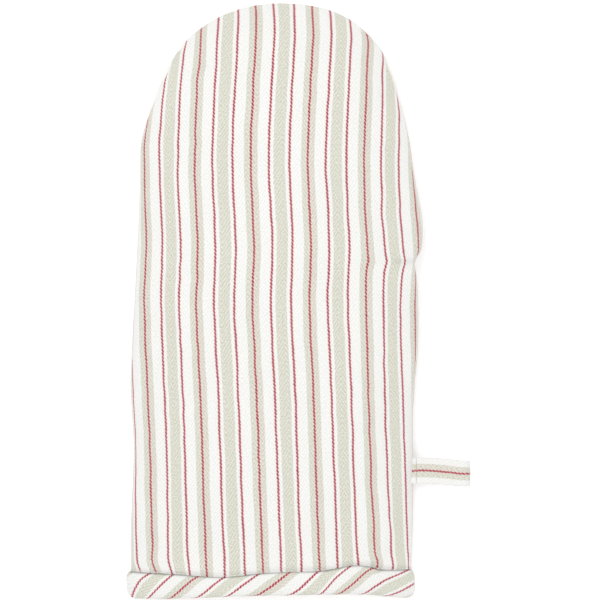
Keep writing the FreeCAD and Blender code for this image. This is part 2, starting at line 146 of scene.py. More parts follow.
def bump(centre: float, reach: float, where: Array) -> Array:
    """A soft bump of height 1 about a centre, gone at about twice its reach."""
    return np.exp(-(((np.asarray(where, float) - centre) / reach) ** 2))


@dataclass
class MittForm:
    """The mitt's shared shape. Points are given from the mitt's axis and its cuff edge.

    A wall point has an across share from -1 at the left seam to 1 at the right one, and an along share
    from 0 at the cuff to 1 at the finger tips.
    """

    axis: float
    cuff: float
    fold: float
    fold_height: float
    wall: float = 4.3 * MM
    tip_base: float = 250 * MM
    tip_lean: float = 1.4 * MM
    crowding: float = 0.36
    back_fullness: float = 2.5
    back_roundness: float = 0.6
    palm_roundness: float = 0.5
    seam_tuck: float = 0.7 * MM
    right_edge: Curve = field(default_factory=lambda: Curve([
        (0, 77.6 * MM), (14 * MM, 78.2 * MM), (40 * MM, 79.2 * MM), (70 * MM, 79.2 * MM), (108 * MM, 79.4 * MM),
        (140 * MM, 82.0 * MM), (165 * MM, 82.0 * MM), (180 * MM, 81.0 * MM), (186.2 * MM, 79.7 * MM),
        (188.6 * MM, 80.6 * MM), (193 * MM, 83.4 * MM), (200 * MM, 84.6 * MM), (212 * MM, 84.2 * MM),
        (230 * MM, 80.8 * MM), (250 * MM, 77.6 * MM)]))
    left_edge: Curve = field(default_factory=lambda: Curve([
        (0, 79.6 * MM), (14 * MM, 80.4 * MM), (40 * MM, 80.3 * MM), (83 * MM, 78.6 * MM),
        (120 * MM, 80.3 * MM), (150 * MM, 78.7 * MM), (187 * MM, 76.7 * MM), (220 * MM, 75.2 * MM),
        (250 * MM, 74.7 * MM)]))
    tip_edge: Curve = field(default_factory=lambda: Curve([
        (math.radians(angle), reach * MM) for angle, reach in (
            (0, 76.2), (11, 75.0), (22, 75.3), (32, 78.0), (42, 81.0), (54, 83.4), (64, 84.3),
            (78, 83.2), (90, 82.1), (105, 81.5), (122, 80.1), (135, 77.5), (146, 74.9), (160, 73.6),
            (180, 76.1))]))
    underside: Curve = field(default_factory=lambda: Curve([
        (0, 2.7 * MM), (13 * MM, 2.7 * MM), (24 * MM, 2.3 * MM), (60 * MM, 4.8 * MM), (100 * MM, 8.4 * MM),
        (150 * MM, 13.2 * MM), (176 * MM, 15.9 * MM), (183 * MM, 16.8 * MM), (187 * MM, 17.0 * MM),
        (215 * MM, 17.0 * MM), (280 * MM, 16.6 * MM),
        (335 * MM, 13.2 * MM)]))
    crown: Curve = field(default_factory=lambda: Curve([
        (0, 17.0 * MM), (20 * MM, 18.6 * MM), (90 * MM, 20.0 * MM), (185 * MM, 19.2 * MM),
        (250 * MM, 19.0 * MM), (335 * MM, 19.0 * MM)]))
    binding_top: Curve = field(default_factory=lambda: Curve([
        (-80 * MM, 13.6 * MM), (-55 * MM, 12.7 * MM), (-27 * MM, 11.4 * MM), (-5 * MM, 13.6 * MM),
        (10 * MM, 14.5 * MM), (28 * MM, 14.9 * MM), (45 * MM, 17.9 * MM), (55 * MM, 16.9 * MM),
        (59 * MM, 15.3 * MM), (80 * MM, 14.8 * MM)]))
    stripe_drift: Curve = field(default_factory=lambda: Curve([
        (0, -4.6 * MM), (50 * MM, -6.7 * MM), (112 * MM, -8.8 * MM), (150 * MM, -10.6 * MM),
        (168 * MM, -11.1 * MM), (194 * MM, -10.2 * MM), (218 * MM, -11.1 * MM), (243 * MM, -12.1 * MM),
        (285 * MM, -10.6 * MM), (313 * MM, -9.1 * MM), (335 * MM, -9.8 * MM)]))

    def crease_shade(self, x: Array, y: Array) -> Array:
        """How much painted shade a place on the back takes, from 0 to 1, in the ditch above the binding, the pinch at
        the binding's join and the fold by the right notch.
        """
        # Painted shade: these darken the back's colour in the ditch, the pinch and the fold, where shade falls.
        ditch = 0.30 * bump(0, 1.4 * MM, y - self.binding_top(x))
        pinch = 0.5 * bump(56 * MM, 2.5 * MM, x) * bump(16 * MM, 2.2 * MM, y)
        fold = 0.22 * bump(186.6 * MM, 1.3 * MM, y) * ease(58 * MM, 76 * MM, x)
        return np.clip(ditch + pinch + fold, 0, 1)

    def crowd(self, share: Array) -> Array:
        """Moves even shares closer together towards the seams, where the wall turns over."""
        return share * (1 + self.crowding * (1 - share * share))

    def strip(self, across: Array, along: Array, start: float, end: float) -> tuple[Array, Array]:
        """The place of a wall point, seen from above, on a part that ends before the finger tips.

        Args:
            across: shares across the mitt.
            along: shares along this part.
            start: where it starts, from the cuff edge.
            end: where it ends.

        Returns:
            The x and y of each point.
        """
        y = start + (end - start) * along
        side = self.crowd(across)
        return np.where(side > 0, side * self.right_edge(y), side * self.left_edge(y)), y

    def plan(self, across: Array, along: Array, start: float = 0.0, share: float = 0.72) -> tuple[Array, Array]:
        """The place of a wall point, seen from above, on a part that reaches the finger tips.

        Args:
            across: shares across the mitt.
            along: shares along it.
            start: where the share along is 0, from the cuff edge.
            share: how much of the part is straight, before the rounded tip.

        Returns:
            The x and y of each point.
        """
        x, y = self.strip(across, np.clip(along / share, 0, 1), start, self.tip_base)
        rise = np.clip((along - share) / (1 - share), 0, 1)
        disc_x = across * np.sqrt(1 - rise * rise / 2)
        disc_y = rise * np.sqrt(1 - across * across / 2)
        reach = np.hypot(disc_x, disc_y)
        angle = np.arctan2(disc_y, disc_x)
        out = self.crowd(np.clip(reach, 0, 1)) * self.tip_edge(angle)
        lean = self.tip_lean
        tip = rise > 0
        return np.where(tip, lean + out * np.cos(angle), x), np.where(tip, self.tip_base + out * np.sin(angle), y)

    def reach(self, x: Array, y: Array) -> Array:
        """How far out a place is, from 0 on the middle line to 1 at the seam."""
        angle = np.arctan2(np.maximum(y - self.tip_base, 0), x - self.tip_lean)
        in_tip = np.hypot(x - self.tip_lean, y - self.tip_base) / self.tip_edge(angle)
        edge = np.where(x > 0, self.right_edge(y), self.left_edge(y))
        return np.clip(np.where(y > self.tip_base, in_tip, np.abs(x) / edge), 0, 1)

    def seam_height(self, x: Array, y: Array) -> Array:
        """The height of the side seam, level with the top of the palm's padding."""
        left = np.clip((80 * MM - x) / (160 * MM), 0, 1)
        sag = 2.6 * MM * left**2 * ease(150 * MM, 235 * MM, y)
        return self.underside(y) + self.wall - sag

    def back(self, x: Array, y: Array) -> Array:
        """The height of the back's outer face."""
        out = self.reach(x, y)
        dome = (1 - out**self.back_fullness) ** self.back_roundness
        height = self.crown(y) * dome
        crease = ease(184.6 * MM, 187.2 * MM, y) * np.exp(-np.maximum(y - 187.2 * MM, 0) / (6 * MM)) - 0.75
        crease *= bump(187 * MM, 11 * MM, y)
        height += 1.7 * MM * crease * ease(30 * MM, 76 * MM, x) * (1 - out**12)
        height -= 0.8 * MM * bump(186 * MM, 6 * MM, y) * ease(45 * MM, 78 * MM, -x) * (1 - out**12)
        ripple = 0.35 * MM * np.sin(x / (13 * MM) + y / (37 * MM)) * np.sin(y / (29 * MM) + 0.7)
        ripple += 0.22 * MM * np.sin(x / (7.1 * MM) - y / (23 * MM) + 1.3)
        height += ripple * np.minimum(1, dome * 1.4)
        return self.seam_height(x, y) + height

    def palm(self, x: Array, y: Array) -> Array:
        """The height of the palm's outer face, below the seam."""
        out = self.reach(x, y)
        belly = (1 - out**5) ** self.palm_roundness
        ripple = 0.25 * MM * np.sin(x / (11 * MM) + 0.4) * np.sin(y / (24 * MM)) * (1 - bump(self.fold, 12 * MM, y))
        return self.seam_height(x, y) - (self.wall + ripple) * belly

    def back_lining(self, x: Array, y: Array) -> Array:
        """The height of the lining under the back."""
        out = self.reach(x, y)
        hollow = (self.crown(y) - self.wall) * (1 - np.minimum(1, out / 0.945) ** 2.2)
        return self.seam_height(x, y) + 0.35 * MM + hollow

    def palm_lining(self, x: Array, y: Array) -> Array:
        """The height of the lining over the palm's padding."""
        return self.seam_height(x, y) + 0.1 * MM * bump(0, 40 * MM, x)

    def row(self, x: Array, y: Array, z: Array) -> Array:
        """Points in the row frame, from the mitt's own x, y and z."""
        return np.stack([x + self.axis, y + self.cuff, z], axis=-1)

    def cloth_length(self, height: Callable, x: Array, y: Array, across: bool) -> Array:
        """The length of cloth from the middle to a point, over the curved face.

        Args:
            height: the face's height at a place.
            x: the points' places across.
            y: the points' places along.
            across: True to measure across the mitt, False to measure along it from the tip's base.

        Returns:
            Signed lengths, one a point.
        """
        base = self.tip_base
        total = np.zeros_like(x)
        shares = np.sin(np.linspace(0, math.pi / 2, 25))
        last = None
        for share in shares:
            px = x * share if across else x
            py = y if across else np.where(y > base, base + (y - base) * share, y)
            here = (px, py, height(px, py))
            if last is not None:
                total += np.sqrt(sum((a - b) ** 2 for a, b in zip(here, last)))
            last = here
        return np.sign(x) * total if across else np.where(y > base, base + total, y)

    def pattern(self, height: Callable, x: Array, y: Array) -> Array:
        """Where each point lies on the flat striped cloth, with the drift of its grain.

        Args:
            height: the face's height at a place.
            x: the points' places across.
            y: the points' places along.

        Returns:
            Across-grain and along-grain lengths in metres, one pair a point.
        """
        across = self.cloth_length(height, x, y, across=True)
        along = self.cloth_length(height, x, y, across=False)
        drift = self.stripe_drift(y)
        drift += 1.5 * MM * np.exp(-np.abs(y - 187 * MM) / (4.5 * MM)) * ease(15 * MM, 75 * MM, x)
        edge = ease(38 * MM, 74 * MM, x)
        drift += 1.0 * MM * edge * np.exp(-np.abs(y - 187 * MM) / (5 * MM))
        drift += 0.6 * MM * edge * (1 - ease(183 * MM, 190 * MM, y)) * ease(120 * MM, 175 * MM, y)
        drift -= 0.9 * MM * edge * bump(218 * MM, 17 * MM, y)
        drift -= 1.3 * MM * bump(150 * MM, 40 * MM, y) * ease(64 * MM, 80 * MM, x)
        drift += 3.2 * MM * ease(21 * MM, 13 * MM, y) * ease(38 * MM, 74 * MM, -x)
        drift += 1.6 * MM * bump(19 * MM, 5 * MM, y) * bump(57 * MM, 9 * MM, x)
        drift -= 1.8 * MM * ease(16 * MM, 13 * MM, y) * bump(57 * MM, 12 * MM, x)
        return np.stack([across - drift, along], axis=-1)


class Sheet:
    """A rectangular net of cloth whose points are placed by shares across and along."""

    def __init__(self, name: str, across: int, along: int) -> None:
        """Makes the flat net.

        Args:
            name: the finished piece's name.
            across: cells across.
            along: cells along.
        """
        self.name = name
        self.mesh = bpy.data.meshes.new(name)
        build = bmesh.new()
        bmesh.ops.create_grid(build, x_segments=across, y_segments=along, size=1.0)
        build.to_mesh(self.mesh)
        build.free()
        flat = self.points()
        self.across = flat[:, 0]
        self.along = (flat[:, 1] + 1) / 2
        self.object = bpy.data.objects.new(name, self.mesh)
        bpy.context.scene.collection.objects.link(self.object)

    def points(self) -> Array:
        """The net's points."""
        flat = np.zeros(len(self.mesh.vertices) * 3)
        self.mesh.vertices.foreach_get("co", flat)
        return flat.reshape(-1, 3)

    def lay(self, points: Array) -> None:
        """Moves the net's points to these places."""
        self.mesh.vertices.foreach_set("co", np.ascontiguousarray(points, float).ravel())
        self.mesh.update()

    def print_cloth(self, lengths: Array) -> None:
        """Writes where each point lies on the flat cloth, in metres, as the UV map "cloth"."""
        layer = self.mesh.uv_layers.new(name="cloth")
        corner = np.zeros(len(self.mesh.loops), int)
        self.mesh.loops.foreach_get("vertex_index", corner)
        layer.data.foreach_set("uv", lengths[corner].ravel())

    def mark_crease_shade(self, depth: Array) -> None:
        """Writes how much painted shade each point takes, from 0 to 1, as the attribute "crease"."""
        layer = self.mesh.attributes.new("crease", "FLOAT", "POINT")
        layer.data.foreach_set("value", np.ascontiguousarray(depth, np.float32))

    def rim(self, sides: bool = True, ends: bool = True) -> list[int]:
        """The points on the net's edges."""
        on_side = sides & (np.abs(self.across) > 0.9999)
        on_end = ends & ((self.along < 1e-4) | (self.along > 0.9999))
        return np.flatnonzero(on_side | on_end).tolist()

    def face_up(self, up: bool = True) -> None:
        """Turns the faces so that the net's outer face points up, or down."""
        if not up:
            self.mesh.flip_normals()

    def smooth(self) -> None:
        """Shades the net as one soft surface."""
        self.mesh.polygons.foreach_set("use_smooth", np.ones(len(self.mesh.polygons), bool))

    def refine(self, levels: int = 1) -> None:
        """Adds and applies a subdivision, so that the relaxed cloth is smooth."""
        finer = self.object.modifiers.new("finer", "SUBSURF")
        finer.levels = finer.render_levels = levels
        finer.boundary_smooth = "ALL"
        finer.uv_smooth = "PRESERVE_BOUNDARIES"
        bake_modifiers(self.object)
        self.mesh = self.object.data

    def thicken(self, thickness: float) -> None:
        """Gives the cloth its thickness, inwards from its outer face."""
        ply = self.object.modifiers.new("ply", "SOLIDIFY")
        ply.thickness = thickness
        ply.offset = -1.0
        ply.use_even_offset = False
        bake_modifiers(self.object)
        self.mesh = self.object.data


def bake_modifiers(piece: bpy.types.Object) -> None:
    """Makes a piece's modifiers part of its mesh."""
    view = bpy.context.evaluated_depsgraph_get()
    view.update()
    done = bpy.data.meshes.new_from_object(piece.evaluated_get(view), preserve_all_data_layers=True, depsgraph=view)
    piece.modifiers.clear()
    old, name = piece.data, piece.data.name
    piece.data = done
    bpy.data.meshes.remove(old)
    done.name = name


@dataclass(frozen=True)
class Relaxing:
    """How a laid cloth settles: it grows a little, is pushed out by its padding and held at its seams."""

    growth: float = 0.014
    push: float = 5.0
    bending: float = 0.4
    tension: float = 14.0
    frames: int = 24
    cap: float = 1.3 * MM
    sink: float = 0.35 * MM

    def settle(self, sheet: Sheet, held: Sequence[int]) -> None:
        """Runs the cloth simulation, and keeps each point within the cap of where it was laid.

        Args:
            sheet: the laid cloth, with its outer face out.
            held: the points on its seams.
        """
        laid = sheet.points()
        out = np.zeros(len(laid) * 3)
        sheet.mesh.vertices.foreach_get("normal", out)
        out = out.reshape(-1, 3)
        piece = sheet.object
        group = piece.vertex_groups.new(name="seams")
        group.add(list(held), 1.0, "REPLACE")
        cloth = piece.modifiers.new("cloth", "CLOTH")
        rules = cloth.settings
        rules.quality = 7
        rules.mass = 0.02
        rules.tension_stiffness = rules.compression_stiffness = self.tension
        rules.shear_stiffness = self.tension / 2
        rules.bending_stiffness = self.bending
        rules.air_damping = 2.0
        rules.vertex_group_mass = "seams"
        rules.shrink_min = -self.growth
        rules.use_pressure = True
        rules.uniform_pressure_force = self.push
        rules.effector_weights.gravity = 0
        cloth.collision_settings.use_collision = False
        cloth.point_cache.frame_start = 1
        cloth.point_cache.frame_end = self.frames
        scene = bpy.context.scene
        for moment in range(1, self.frames + 1):
            scene.frame_set(moment)
        view = bpy.context.evaluated_depsgraph_get()
        moved = np.zeros(len(laid) * 3)
        piece.evaluated_get(view).data.vertices.foreach_get("co", moved)
        scene.frame_set(1)
        piece.modifiers.clear()
        piece.vertex_groups.clear()
        move = moved.reshape(-1, 3) - laid
        far = np.linalg.norm(move, axis=1, keepdims=True)
        kept = move * (self.cap * np.tanh(far / self.cap) / np.maximum(far, 1e-9))
        kept[np.isnan(kept).any(axis=1)] = 0
        rise = (kept * out).sum(axis=1, keepdims=True)
        kept += out * (np.maximum(rise, -self.sink) - rise)
        settled = laid + kept
        settled[:, 2] = np.maximum(settled[:, 2], 0.12 * MM)
        sheet.lay(settled)
        LOG.info("%s relaxed, from %.2f to %.2f mm outwards", sheet.name, rise.min() / MM, rise.max() / MM)


class Graph:
    """A material's nodes, wired by small steps."""

    def __init__(self, name: str) -> None:
        """Starts a material with a Principled shader."""
        self.material = bpy.data.materials.new(name)
        self.material.use_nodes = True
        self.tree = self.material.node_tree
        self.shader = self.tree.nodes["Principled BSDF"]

    def node(self, kind: str, **values: object) -> bpy.types.Node:
        """A new node with some of its settings."""
        made = self.tree.nodes.new(kind)
        for key, value in values.items():
            setattr(made, key, value)
        return made

    def feed(self, socket: bpy.types.NodeSocket, value: object) -> None:
        """Puts a number, colour or another socket into an input."""
        if isinstance(value, bpy.types.NodeSocket):
            self.tree.links.new(value, socket)
        else:
            socket.default_value = value

    def math(self, operation: str, *values: object) -> bpy.types.NodeSocket:
        """The result of a Math node."""
        made = self.node("ShaderNodeMath", operation=operation)
        for socket, value in zip(made.inputs, values):
            self.feed(socket, value)
        return made.outputs[0]

    def step(self, value: object, low: float, high: float) -> bpy.types.NodeSocket:
        """A smooth step from 0 at low to 1 at high, where high may be the smaller."""
        made = self.node("ShaderNodeMapRange", interpolation_type="SMOOTHSTEP")
        ends = (low, high, 0.0, 1.0) if low < high else (high, low, 1.0, 0.0)
        for socket, number in zip(made.inputs[:5], (value, *ends)):
            self.feed(socket, number)
        return made.outputs[0]

    def mix(self, share: object, first: object, second: object) -> bpy.types.NodeSocket:
        """A colour between two, by a share."""
        made = self.node("ShaderNodeMix", data_type="RGBA")
        for socket, value in zip((made.inputs[0], made.inputs[6], made.inputs[7]), (share, first, second)):
            self.feed(socket, value)
        return made.outputs[2]

    def noise(self, place: object, scale: float, detail: float = 2.0) -> bpy.types.NodeSocket:
        """A noise value at a place."""
        made = self.node("ShaderNodeTexNoise", noise_dimensions="3D")
        self.feed(made.inputs["Vector"], place)
        made.inputs["Scale"].default_value = scale
        made.inputs["Detail"].default_value = detail
        return made.outputs[0]

    def cloth_place(self) -> tuple[bpy.types.NodeSocket, ...]:
        """The point on the flat cloth in millimetres: across, along, and both as one place."""
        read = self.node("ShaderNodeUVMap", uv_map="cloth")
        large = self.node("ShaderNodeVectorMath", operation="SCALE")
        self.feed(large.inputs[0], read.outputs[0])
        large.inputs["Scale"].default_value = 1 / MM
        split = self.node("ShaderNodeSeparateXYZ")
        self.feed(split.inputs[0], large.outputs[0])
        return split.outputs[0], split.outputs[1], large.outputs[0]

    def object_place(self) -> bpy.types.NodeSocket:
        """The point in the piece's own space."""
        return self.node("ShaderNodeTexCoord").outputs["Object"]

    def relief(self, height: object, depth: float, strength: float = 1.0) -> bpy.types.NodeSocket:
        """A bumped normal."""
        made = self.node("ShaderNodeBump")
        made.inputs["Strength"].default_value = strength
        made.inputs["Distance"].default_value = depth
        self.feed(made.inputs["Height"], height)
        return made.outputs[0]


@dataclass(frozen=True)
class StripedTwill:
    """White herringbone cotton with beige stripes and fine red lines. Widths are in millimetres."""

    name: str = "striped_herringbone_twill"
    repeat: float = 31.5
    beige_half: float = 3.75
    plain_half: float = 3.15
    red_half: float = 0.66
    pair_place: float = 10.15
    chevron_repeat: float = 9.95
    chevron_start: float = 47.1
    twill_rise: float = 2.85
    twill_run: float = 1.75
    dash: float = 2.0
    white: tuple[float, float, float, float] = (0.805, 0.80, 0.785, 1)
    # Painted shade: the shaded grooves of the twill on the white stripes, a darker copy of the white.
    white_painted_relief_shade: tuple[float, float, float, float] = (0.665, 0.665, 0.645, 1)
    beige: tuple[float, float, float, float] = (0.455, 0.46, 0.38, 1)
    beige_high: tuple[float, float, float, float] = (0.70, 0.69, 0.62, 1)
    rosy: tuple[float, float, float, float] = (0.475, 0.455, 0.385, 1)
    rosy_high: tuple[float, float, float, float] = (0.705, 0.68, 0.615, 1)
    red: tuple[float, float, float, float] = (0.29, 0.018, 0.036, 1)
    red_gap: tuple[float, float, float, float] = (0.58, 0.215, 0.23, 1)
    halo: tuple[float, float, float, float] = (0.71, 0.57, 0.555, 1)

    def make(self) -> bpy.types.Material:
        """Builds the material.

        Returns:
            The material, which reads the UV map "cloth".
        """
        g = Graph(self.name)
        across, along, place = g.cloth_place()
        wander = g.math("MULTIPLY", g.math("SUBTRACT", g.noise(place, 0.9, 1.0), 0.5), 0.45)
        sway = g.math("MULTIPLY", g.math("SUBTRACT", g.noise(place, 0.06, 1.0), 0.5), 1.1)
        thread = g.math("ADD", g.math("ADD", across, wander), sway)
        half = self.repeat / 2
        signed = g.math("WRAP", thread, half, -half)
        off = g.math("ABSOLUTE", signed)
        plain = g.step(off, half - self.plain_half - 0.3, half - self.plain_half + 0.3)
        lined = g.step(off, self.beige_half + 0.3, self.beige_half - 0.3)
        beige = g.math("MAXIMUM", lined, plain)
        rose = g.math("MULTIPLY", lined, g.step(signed, -0.5, 1.2))
        line = g.math("MINIMUM", off, g.math("ABSOLUTE", g.math("SUBTRACT", off, self.pair_place)))
        zig_half = self.chevron_repeat / 2
        zig = g.math("ABSOLUTE", g.math("WRAP", g.math("SUBTRACT", across, self.chevron_start), zig_half, -zig_half))
        climb = g.math("ADD", along, g.math("MULTIPLY", zig, self.twill_rise / self.twill_run))
        turn = g.math("MULTIPLY", climb, 2 * math.pi / self.twill_rise)
        ridge = g.math(
            "ADD",
            g.math("MULTIPLY", g.math("COSINE", turn), 0.21),
            g.math("MULTIPLY", g.math("COSINE", g.math("MULTIPLY", turn, 2.0)), 0.14),
        )
        fuzz = g.math("MULTIPLY", g.math("SUBTRACT", g.noise(place, 1.25, 3.0), 0.5), 2.3)
        ridge = g.math("ADD", g.math("ADD", ridge, 0.5), fuzz)
        # The lighter twill lines: on the beige stripes the white weft floats' own colour, on the white stripes painted
        # relief light and shade.
        weft_floats_and_painted_relief = g.math("MINIMUM", g.math("MAXIMUM", ridge, 0.0), 1.0)
        slant = g.math("ADD", along, g.math("MULTIPLY", across, 0.9))
        slant = g.math("ADD", slant, g.math("MULTIPLY", g.math("SUBTRACT", g.noise(place, 0.5, 1.0), 0.5), 0.9))
        beat = g.math("COSINE", g.math("MULTIPLY", slant, 2 * math.pi / self.dash))
        bead = g.step(beat, -0.6, 0.35)
        width = g.math("ADD", g.math("MULTIPLY", bead, 0.24), self.red_half - 0.24)
        red = g.step(g.math("SUBTRACT", width, line), -0.14, 0.14)
        ground = g.mix(
            beige,
            g.mix(weft_floats_and_painted_relief, self.white_painted_relief_shade, self.white),
            g.mix(rose, g.mix(weft_floats_and_painted_relief, self.beige, self.beige_high), g.mix(weft_floats_and_painted_relief, self.rosy, self.rosy_high)),
        )
        glow = g.math("MULTIPLY", g.step(line, 1.7, 0.4), 0.34)
        ground = g.mix(glow, ground, self.halo)
        blotch = g.noise(place, 0.035, 2.0)
        shade = g.math("ADD", g.math("MULTIPLY", blotch, 0.05), 0.975)
        # Painted shade: the "crease" attribute darkens the colour where creases, ditches and folds fall in shadow.
        crease = g.node("ShaderNodeAttribute", attribute_name="crease").outputs["Fac"]
        shade = g.math("MULTIPLY", shade, g.math("SUBTRACT", 1.0, g.math("MULTIPLY", crease, 0.62)))
        tint = g.node("ShaderNodeVectorMath", operation="SCALE")
        g.feed(tint.inputs[0], g.mix(red, ground, g.mix(bead, self.red_gap, self.red)))
        g.feed(tint.inputs["Scale"], shade)
        g.feed(g.shader.inputs["Base Color"], tint.outputs[0])
        yarn = g.math("COSINE", g.math("MULTIPLY", across, 2 * math.pi / 0.62))
        height = g.math("ADD", ridge, g.math("MULTIPLY", yarn, 0.12))
        height = g.math("ADD", height, g.math("MULTIPLY", g.math("MULTIPLY", red, bead), 0.5))
        g.feed(g.shader.inputs["Normal"], g.relief(height, 0.12 * MM, 0.6))
        g.shader.inputs["Roughness"].default_value = 0.88
        g.shader.inputs["Specular IOR Level"].default_value = 0.22
        g.shader.inputs["Sheen Weight"].default_value = 0.18
        g.shader.inputs["Sheen Roughness"].default_value = 0.55
        return g.material


@dataclass(frozen=True)
class PlainCotton:
    """Plain-weave lining cotton. Widths are in millimetres."""

    name: str = "plain_white_cotton"
    pitch: float = 0.7
    colour: tuple[float, float, float, float] = (0.84, 0.83, 0.79, 1)
    colour_low: tuple[float, float, float, float] = (0.74, 0.73, 0.69, 1)

    def make(self) -> bpy.types.Material:
        """Builds the material, which reads the UV map "cloth"."""
        g = Graph(self.name)
        across, along, place = g.cloth_place()
        turn = 2 * math.pi / self.pitch
        warp = g.math("SINE", g.math("MULTIPLY", across, turn))
        weft = g.math("SINE", g.math("MULTIPLY", along, turn))
        weave = g.math("ADD", g.math("MULTIPLY", g.math("MULTIPLY", warp, weft), 0.5), 0.5)
        slub = g.noise(place, 0.6, 4.0)
        share = g.math("ADD", g.math("MULTIPLY", weave, 0.6), g.math("MULTIPLY", slub, 0.4))
        g.feed(g.shader.inputs["Base Color"], g.mix(share, self.colour_low, self.colour))
        g.feed(g.shader.inputs["Normal"], g.relief(g.math("ADD", weave, slub), 0.08 * MM, 0.6))
        g.shader.inputs["Roughness"].default_value = 0.9
        g.shader.inputs["Sheen Weight"].default_value = 0.12
        return g.material


@dataclass(frozen=True)
class CottonWadding:
    """Fluffy off-white wadding."""

    name: str = "cotton_wadding"
    colour: tuple[float, float, float, float] = (0.86, 0.84, 0.79, 1)
    colour_low: tuple[float, float, float, float] = (0.72, 0.70, 0.65, 1)

    def make(self) -> bpy.types.Material:
        """Builds the material."""
        g = Graph(self.name)
        place = g.object_place()
        tuft = g.noise(place, 420.0, 6.0)
        g.feed(g.shader.inputs["Base Color"], g.mix(tuft, self.colour_low, self.colour))
        g.feed(g.shader.inputs["Normal"], g.relief(tuft, 0.6 * MM, 0.8))
        g.shader.inputs["Roughness"].default_value = 1.0
        g.shader.inputs["Sheen Weight"].default_value = 0.3
        return g.material


@dataclass(frozen=True)
class SewingThread:
    """Twisted white sewing thread."""

    name: str = "white_sewing_thread"
    colour: tuple[float, float, float, float] = (0.84, 0.83, 0.80, 1)
    colour_low: tuple[float, float, float, float] = (0.62, 0.61, 0.58, 1)

    def make(self) -> bpy.types.Material:
        """Builds the material."""
        g = Graph(self.name)
        place = g.object_place()
        twist = g.node("ShaderNodeTexWave", bands_direction="DIAGONAL")
        g.feed(twist.inputs["Vector"], place)
        twist.inputs["Scale"].default_value = 900.0
        twist.inputs["Distortion"].default_value = 1.5
        g.feed(g.shader.inputs["Base Color"], g.mix(twist.outputs[1], self.colour_low, self.colour))
        g.feed(g.shader.inputs["Normal"], g.relief(twist.outputs[1], 0.05 * MM))
        g.shader.inputs["Roughness"].default_value = 0.7
        return g.material


@dataclass(frozen=True)
class Finishes:
    """Every finish on the mitt, made once."""

    twill: bpy.types.Material
    cotton: bpy.types.Material
    wadding: bpy.types.Material
    thread: bpy.types.Material


def dress(piece: bpy.types.Object, material: bpy.types.Material) -> None:
    """Gives a piece its only material."""
    piece.data.materials.clear()
    piece.data.materials.append(material)


@dataclass
class FoldLine:
    """The stretch between the hand and the fingers; its bend only bakes each piece's placement into its mesh."""

    form: MittForm
    reach: float = 16 * MM

    def bend(self, piece: bpy.types.Object) -> None:
        """Bakes a piece's placement into its mesh."""
        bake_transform(piece)


@dataclass
class Walls:
    """The parts of the mitt's wall that share its shape, its finishes and its fold."""

    form: MittForm
    finishes: Finishes
    line: FoldLine

    def cloth(self, name: str, place: Callable, height: Callable, cells: tuple[int, int], nodes: Sequence[str],
              up: bool, reach: tuple[float, float], settling: Relaxing | None = None) -> bpy.types.Object:
        """A striped outer cloth, relaxed over its padding.

        Args:
            name: the piece's name.
            place: gives x and y from shares across and along.
            height: gives the face's height from x and y.
            cells: cells across and along.
            nodes: the CAD nodes that it stands for.
            up: True where the outer face looks up.
            reach: the flat cut's width and length; not used.
            settling: how it relaxes.

        Returns:
            The finished piece.
        """
        form = self.form
        sheet = Sheet(name, *cells)
        x, y = place(sheet.across, sheet.along)
        sheet.print_cloth(form.pattern(height, x, y))
        out = form.reach(x, y)
        z = height(x, y)
        z -= (1 if up else -1) * 0.8 * MM * bump(form.binding_top(x) if up else 13.5 * MM, 2.0 * MM, y) * (1 - out**20)
        tuck = 1 - form.seam_tuck / (78 * MM) * np.exp(-(((1 - out) / 0.014) ** 2))
        px = x * tuck
        py = np.where(y > form.tip_base, form.tip_base + (y - form.tip_base) * tuck, y)
        sheet.lay(form.row(px, py, z))
        sheet.face_up(up)
        # Painted shade for the back's ditch, pinch and fold.
        if up:
            sheet.mark_crease_shade(form.crease_shade(x, y))
        still = (y < form.binding_top(x)) if up else (y < 14 * MM) | (np.abs(y - form.fold) < 7 * MM)
        bound = np.flatnonzero(still)
        (settling or Relaxing()).settle(sheet, sorted({*sheet.rim(), *bound.tolist()}))
        sheet.refine()
        sheet.thicken(0.6 * MM)
        sheet.smooth()
        dress(sheet.object, self.finishes.twill)
        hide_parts(*nodes)
        self.line.bend(sheet.object)
        return sheet.object

    def lining(self, name: str, place: Callable, height: Callable, nodes: Sequence[str], up: bool,
               reach: tuple[float, float]) -> bpy.types.Object:
        """A plain cotton lining, whose outer face looks into the mitt.

        Args:
            name: the piece's name.
            place: gives x and y from shares across and along.
            height: gives the face's height from x and y.
            nodes: the CAD nodes that it stands for.
            up: True where its seen face looks up.
            reach: the flat cut's width and length; not used.

        Returns:
            The finished piece.
        """
        form = self.form
        sheet = Sheet(name, 48, 96)
        x, y = place(sheet.across * 0.965, 0.012 + sheet.along * 0.973)
        sheet.print_cloth(np.stack([form.cloth_length(height, x, y, True), form.cloth_length(height, x, y, False)],
                                   axis=-1))
        pucker = 0.25 * MM * np.sin(x / (5 * MM) + np.sin(y / (17 * MM))) * (1 - form.reach(x, y) ** 4)
        sheet.lay(form.row(x, y, height(x, y) + pucker * (0.5 if up else 1)))
        sheet.face_up(up)
        sheet.thicken(0.5 * MM)
        sheet.smooth()
        dress(sheet.object, self.finishes.cotton)
        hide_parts(*nodes)
        self.line.bend(sheet.object)
        return sheet.object

    def pad(self, name: str, place: Callable, low: Callable, high: Callable,
            nodes: Sequence[str]) -> bpy.types.Object:
        """A closed pad of wadding that fills the room between two faces.

        Args:
            name: the piece's name.
            place: gives x and y from shares across and along.
            low: the height of the lower face.
            high: the height of the upper face.
            nodes: the CAD nodes that it stands for.

        Returns:
            The finished pad.
        """
        piece = padding(name, lambda a, v: place(a * 0.955, 0.012 + v * 0.972), low, high, self.form)
        dress(piece, self.finishes.wadding)
        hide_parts(*nodes)
        self.line.bend(piece)
        return piece


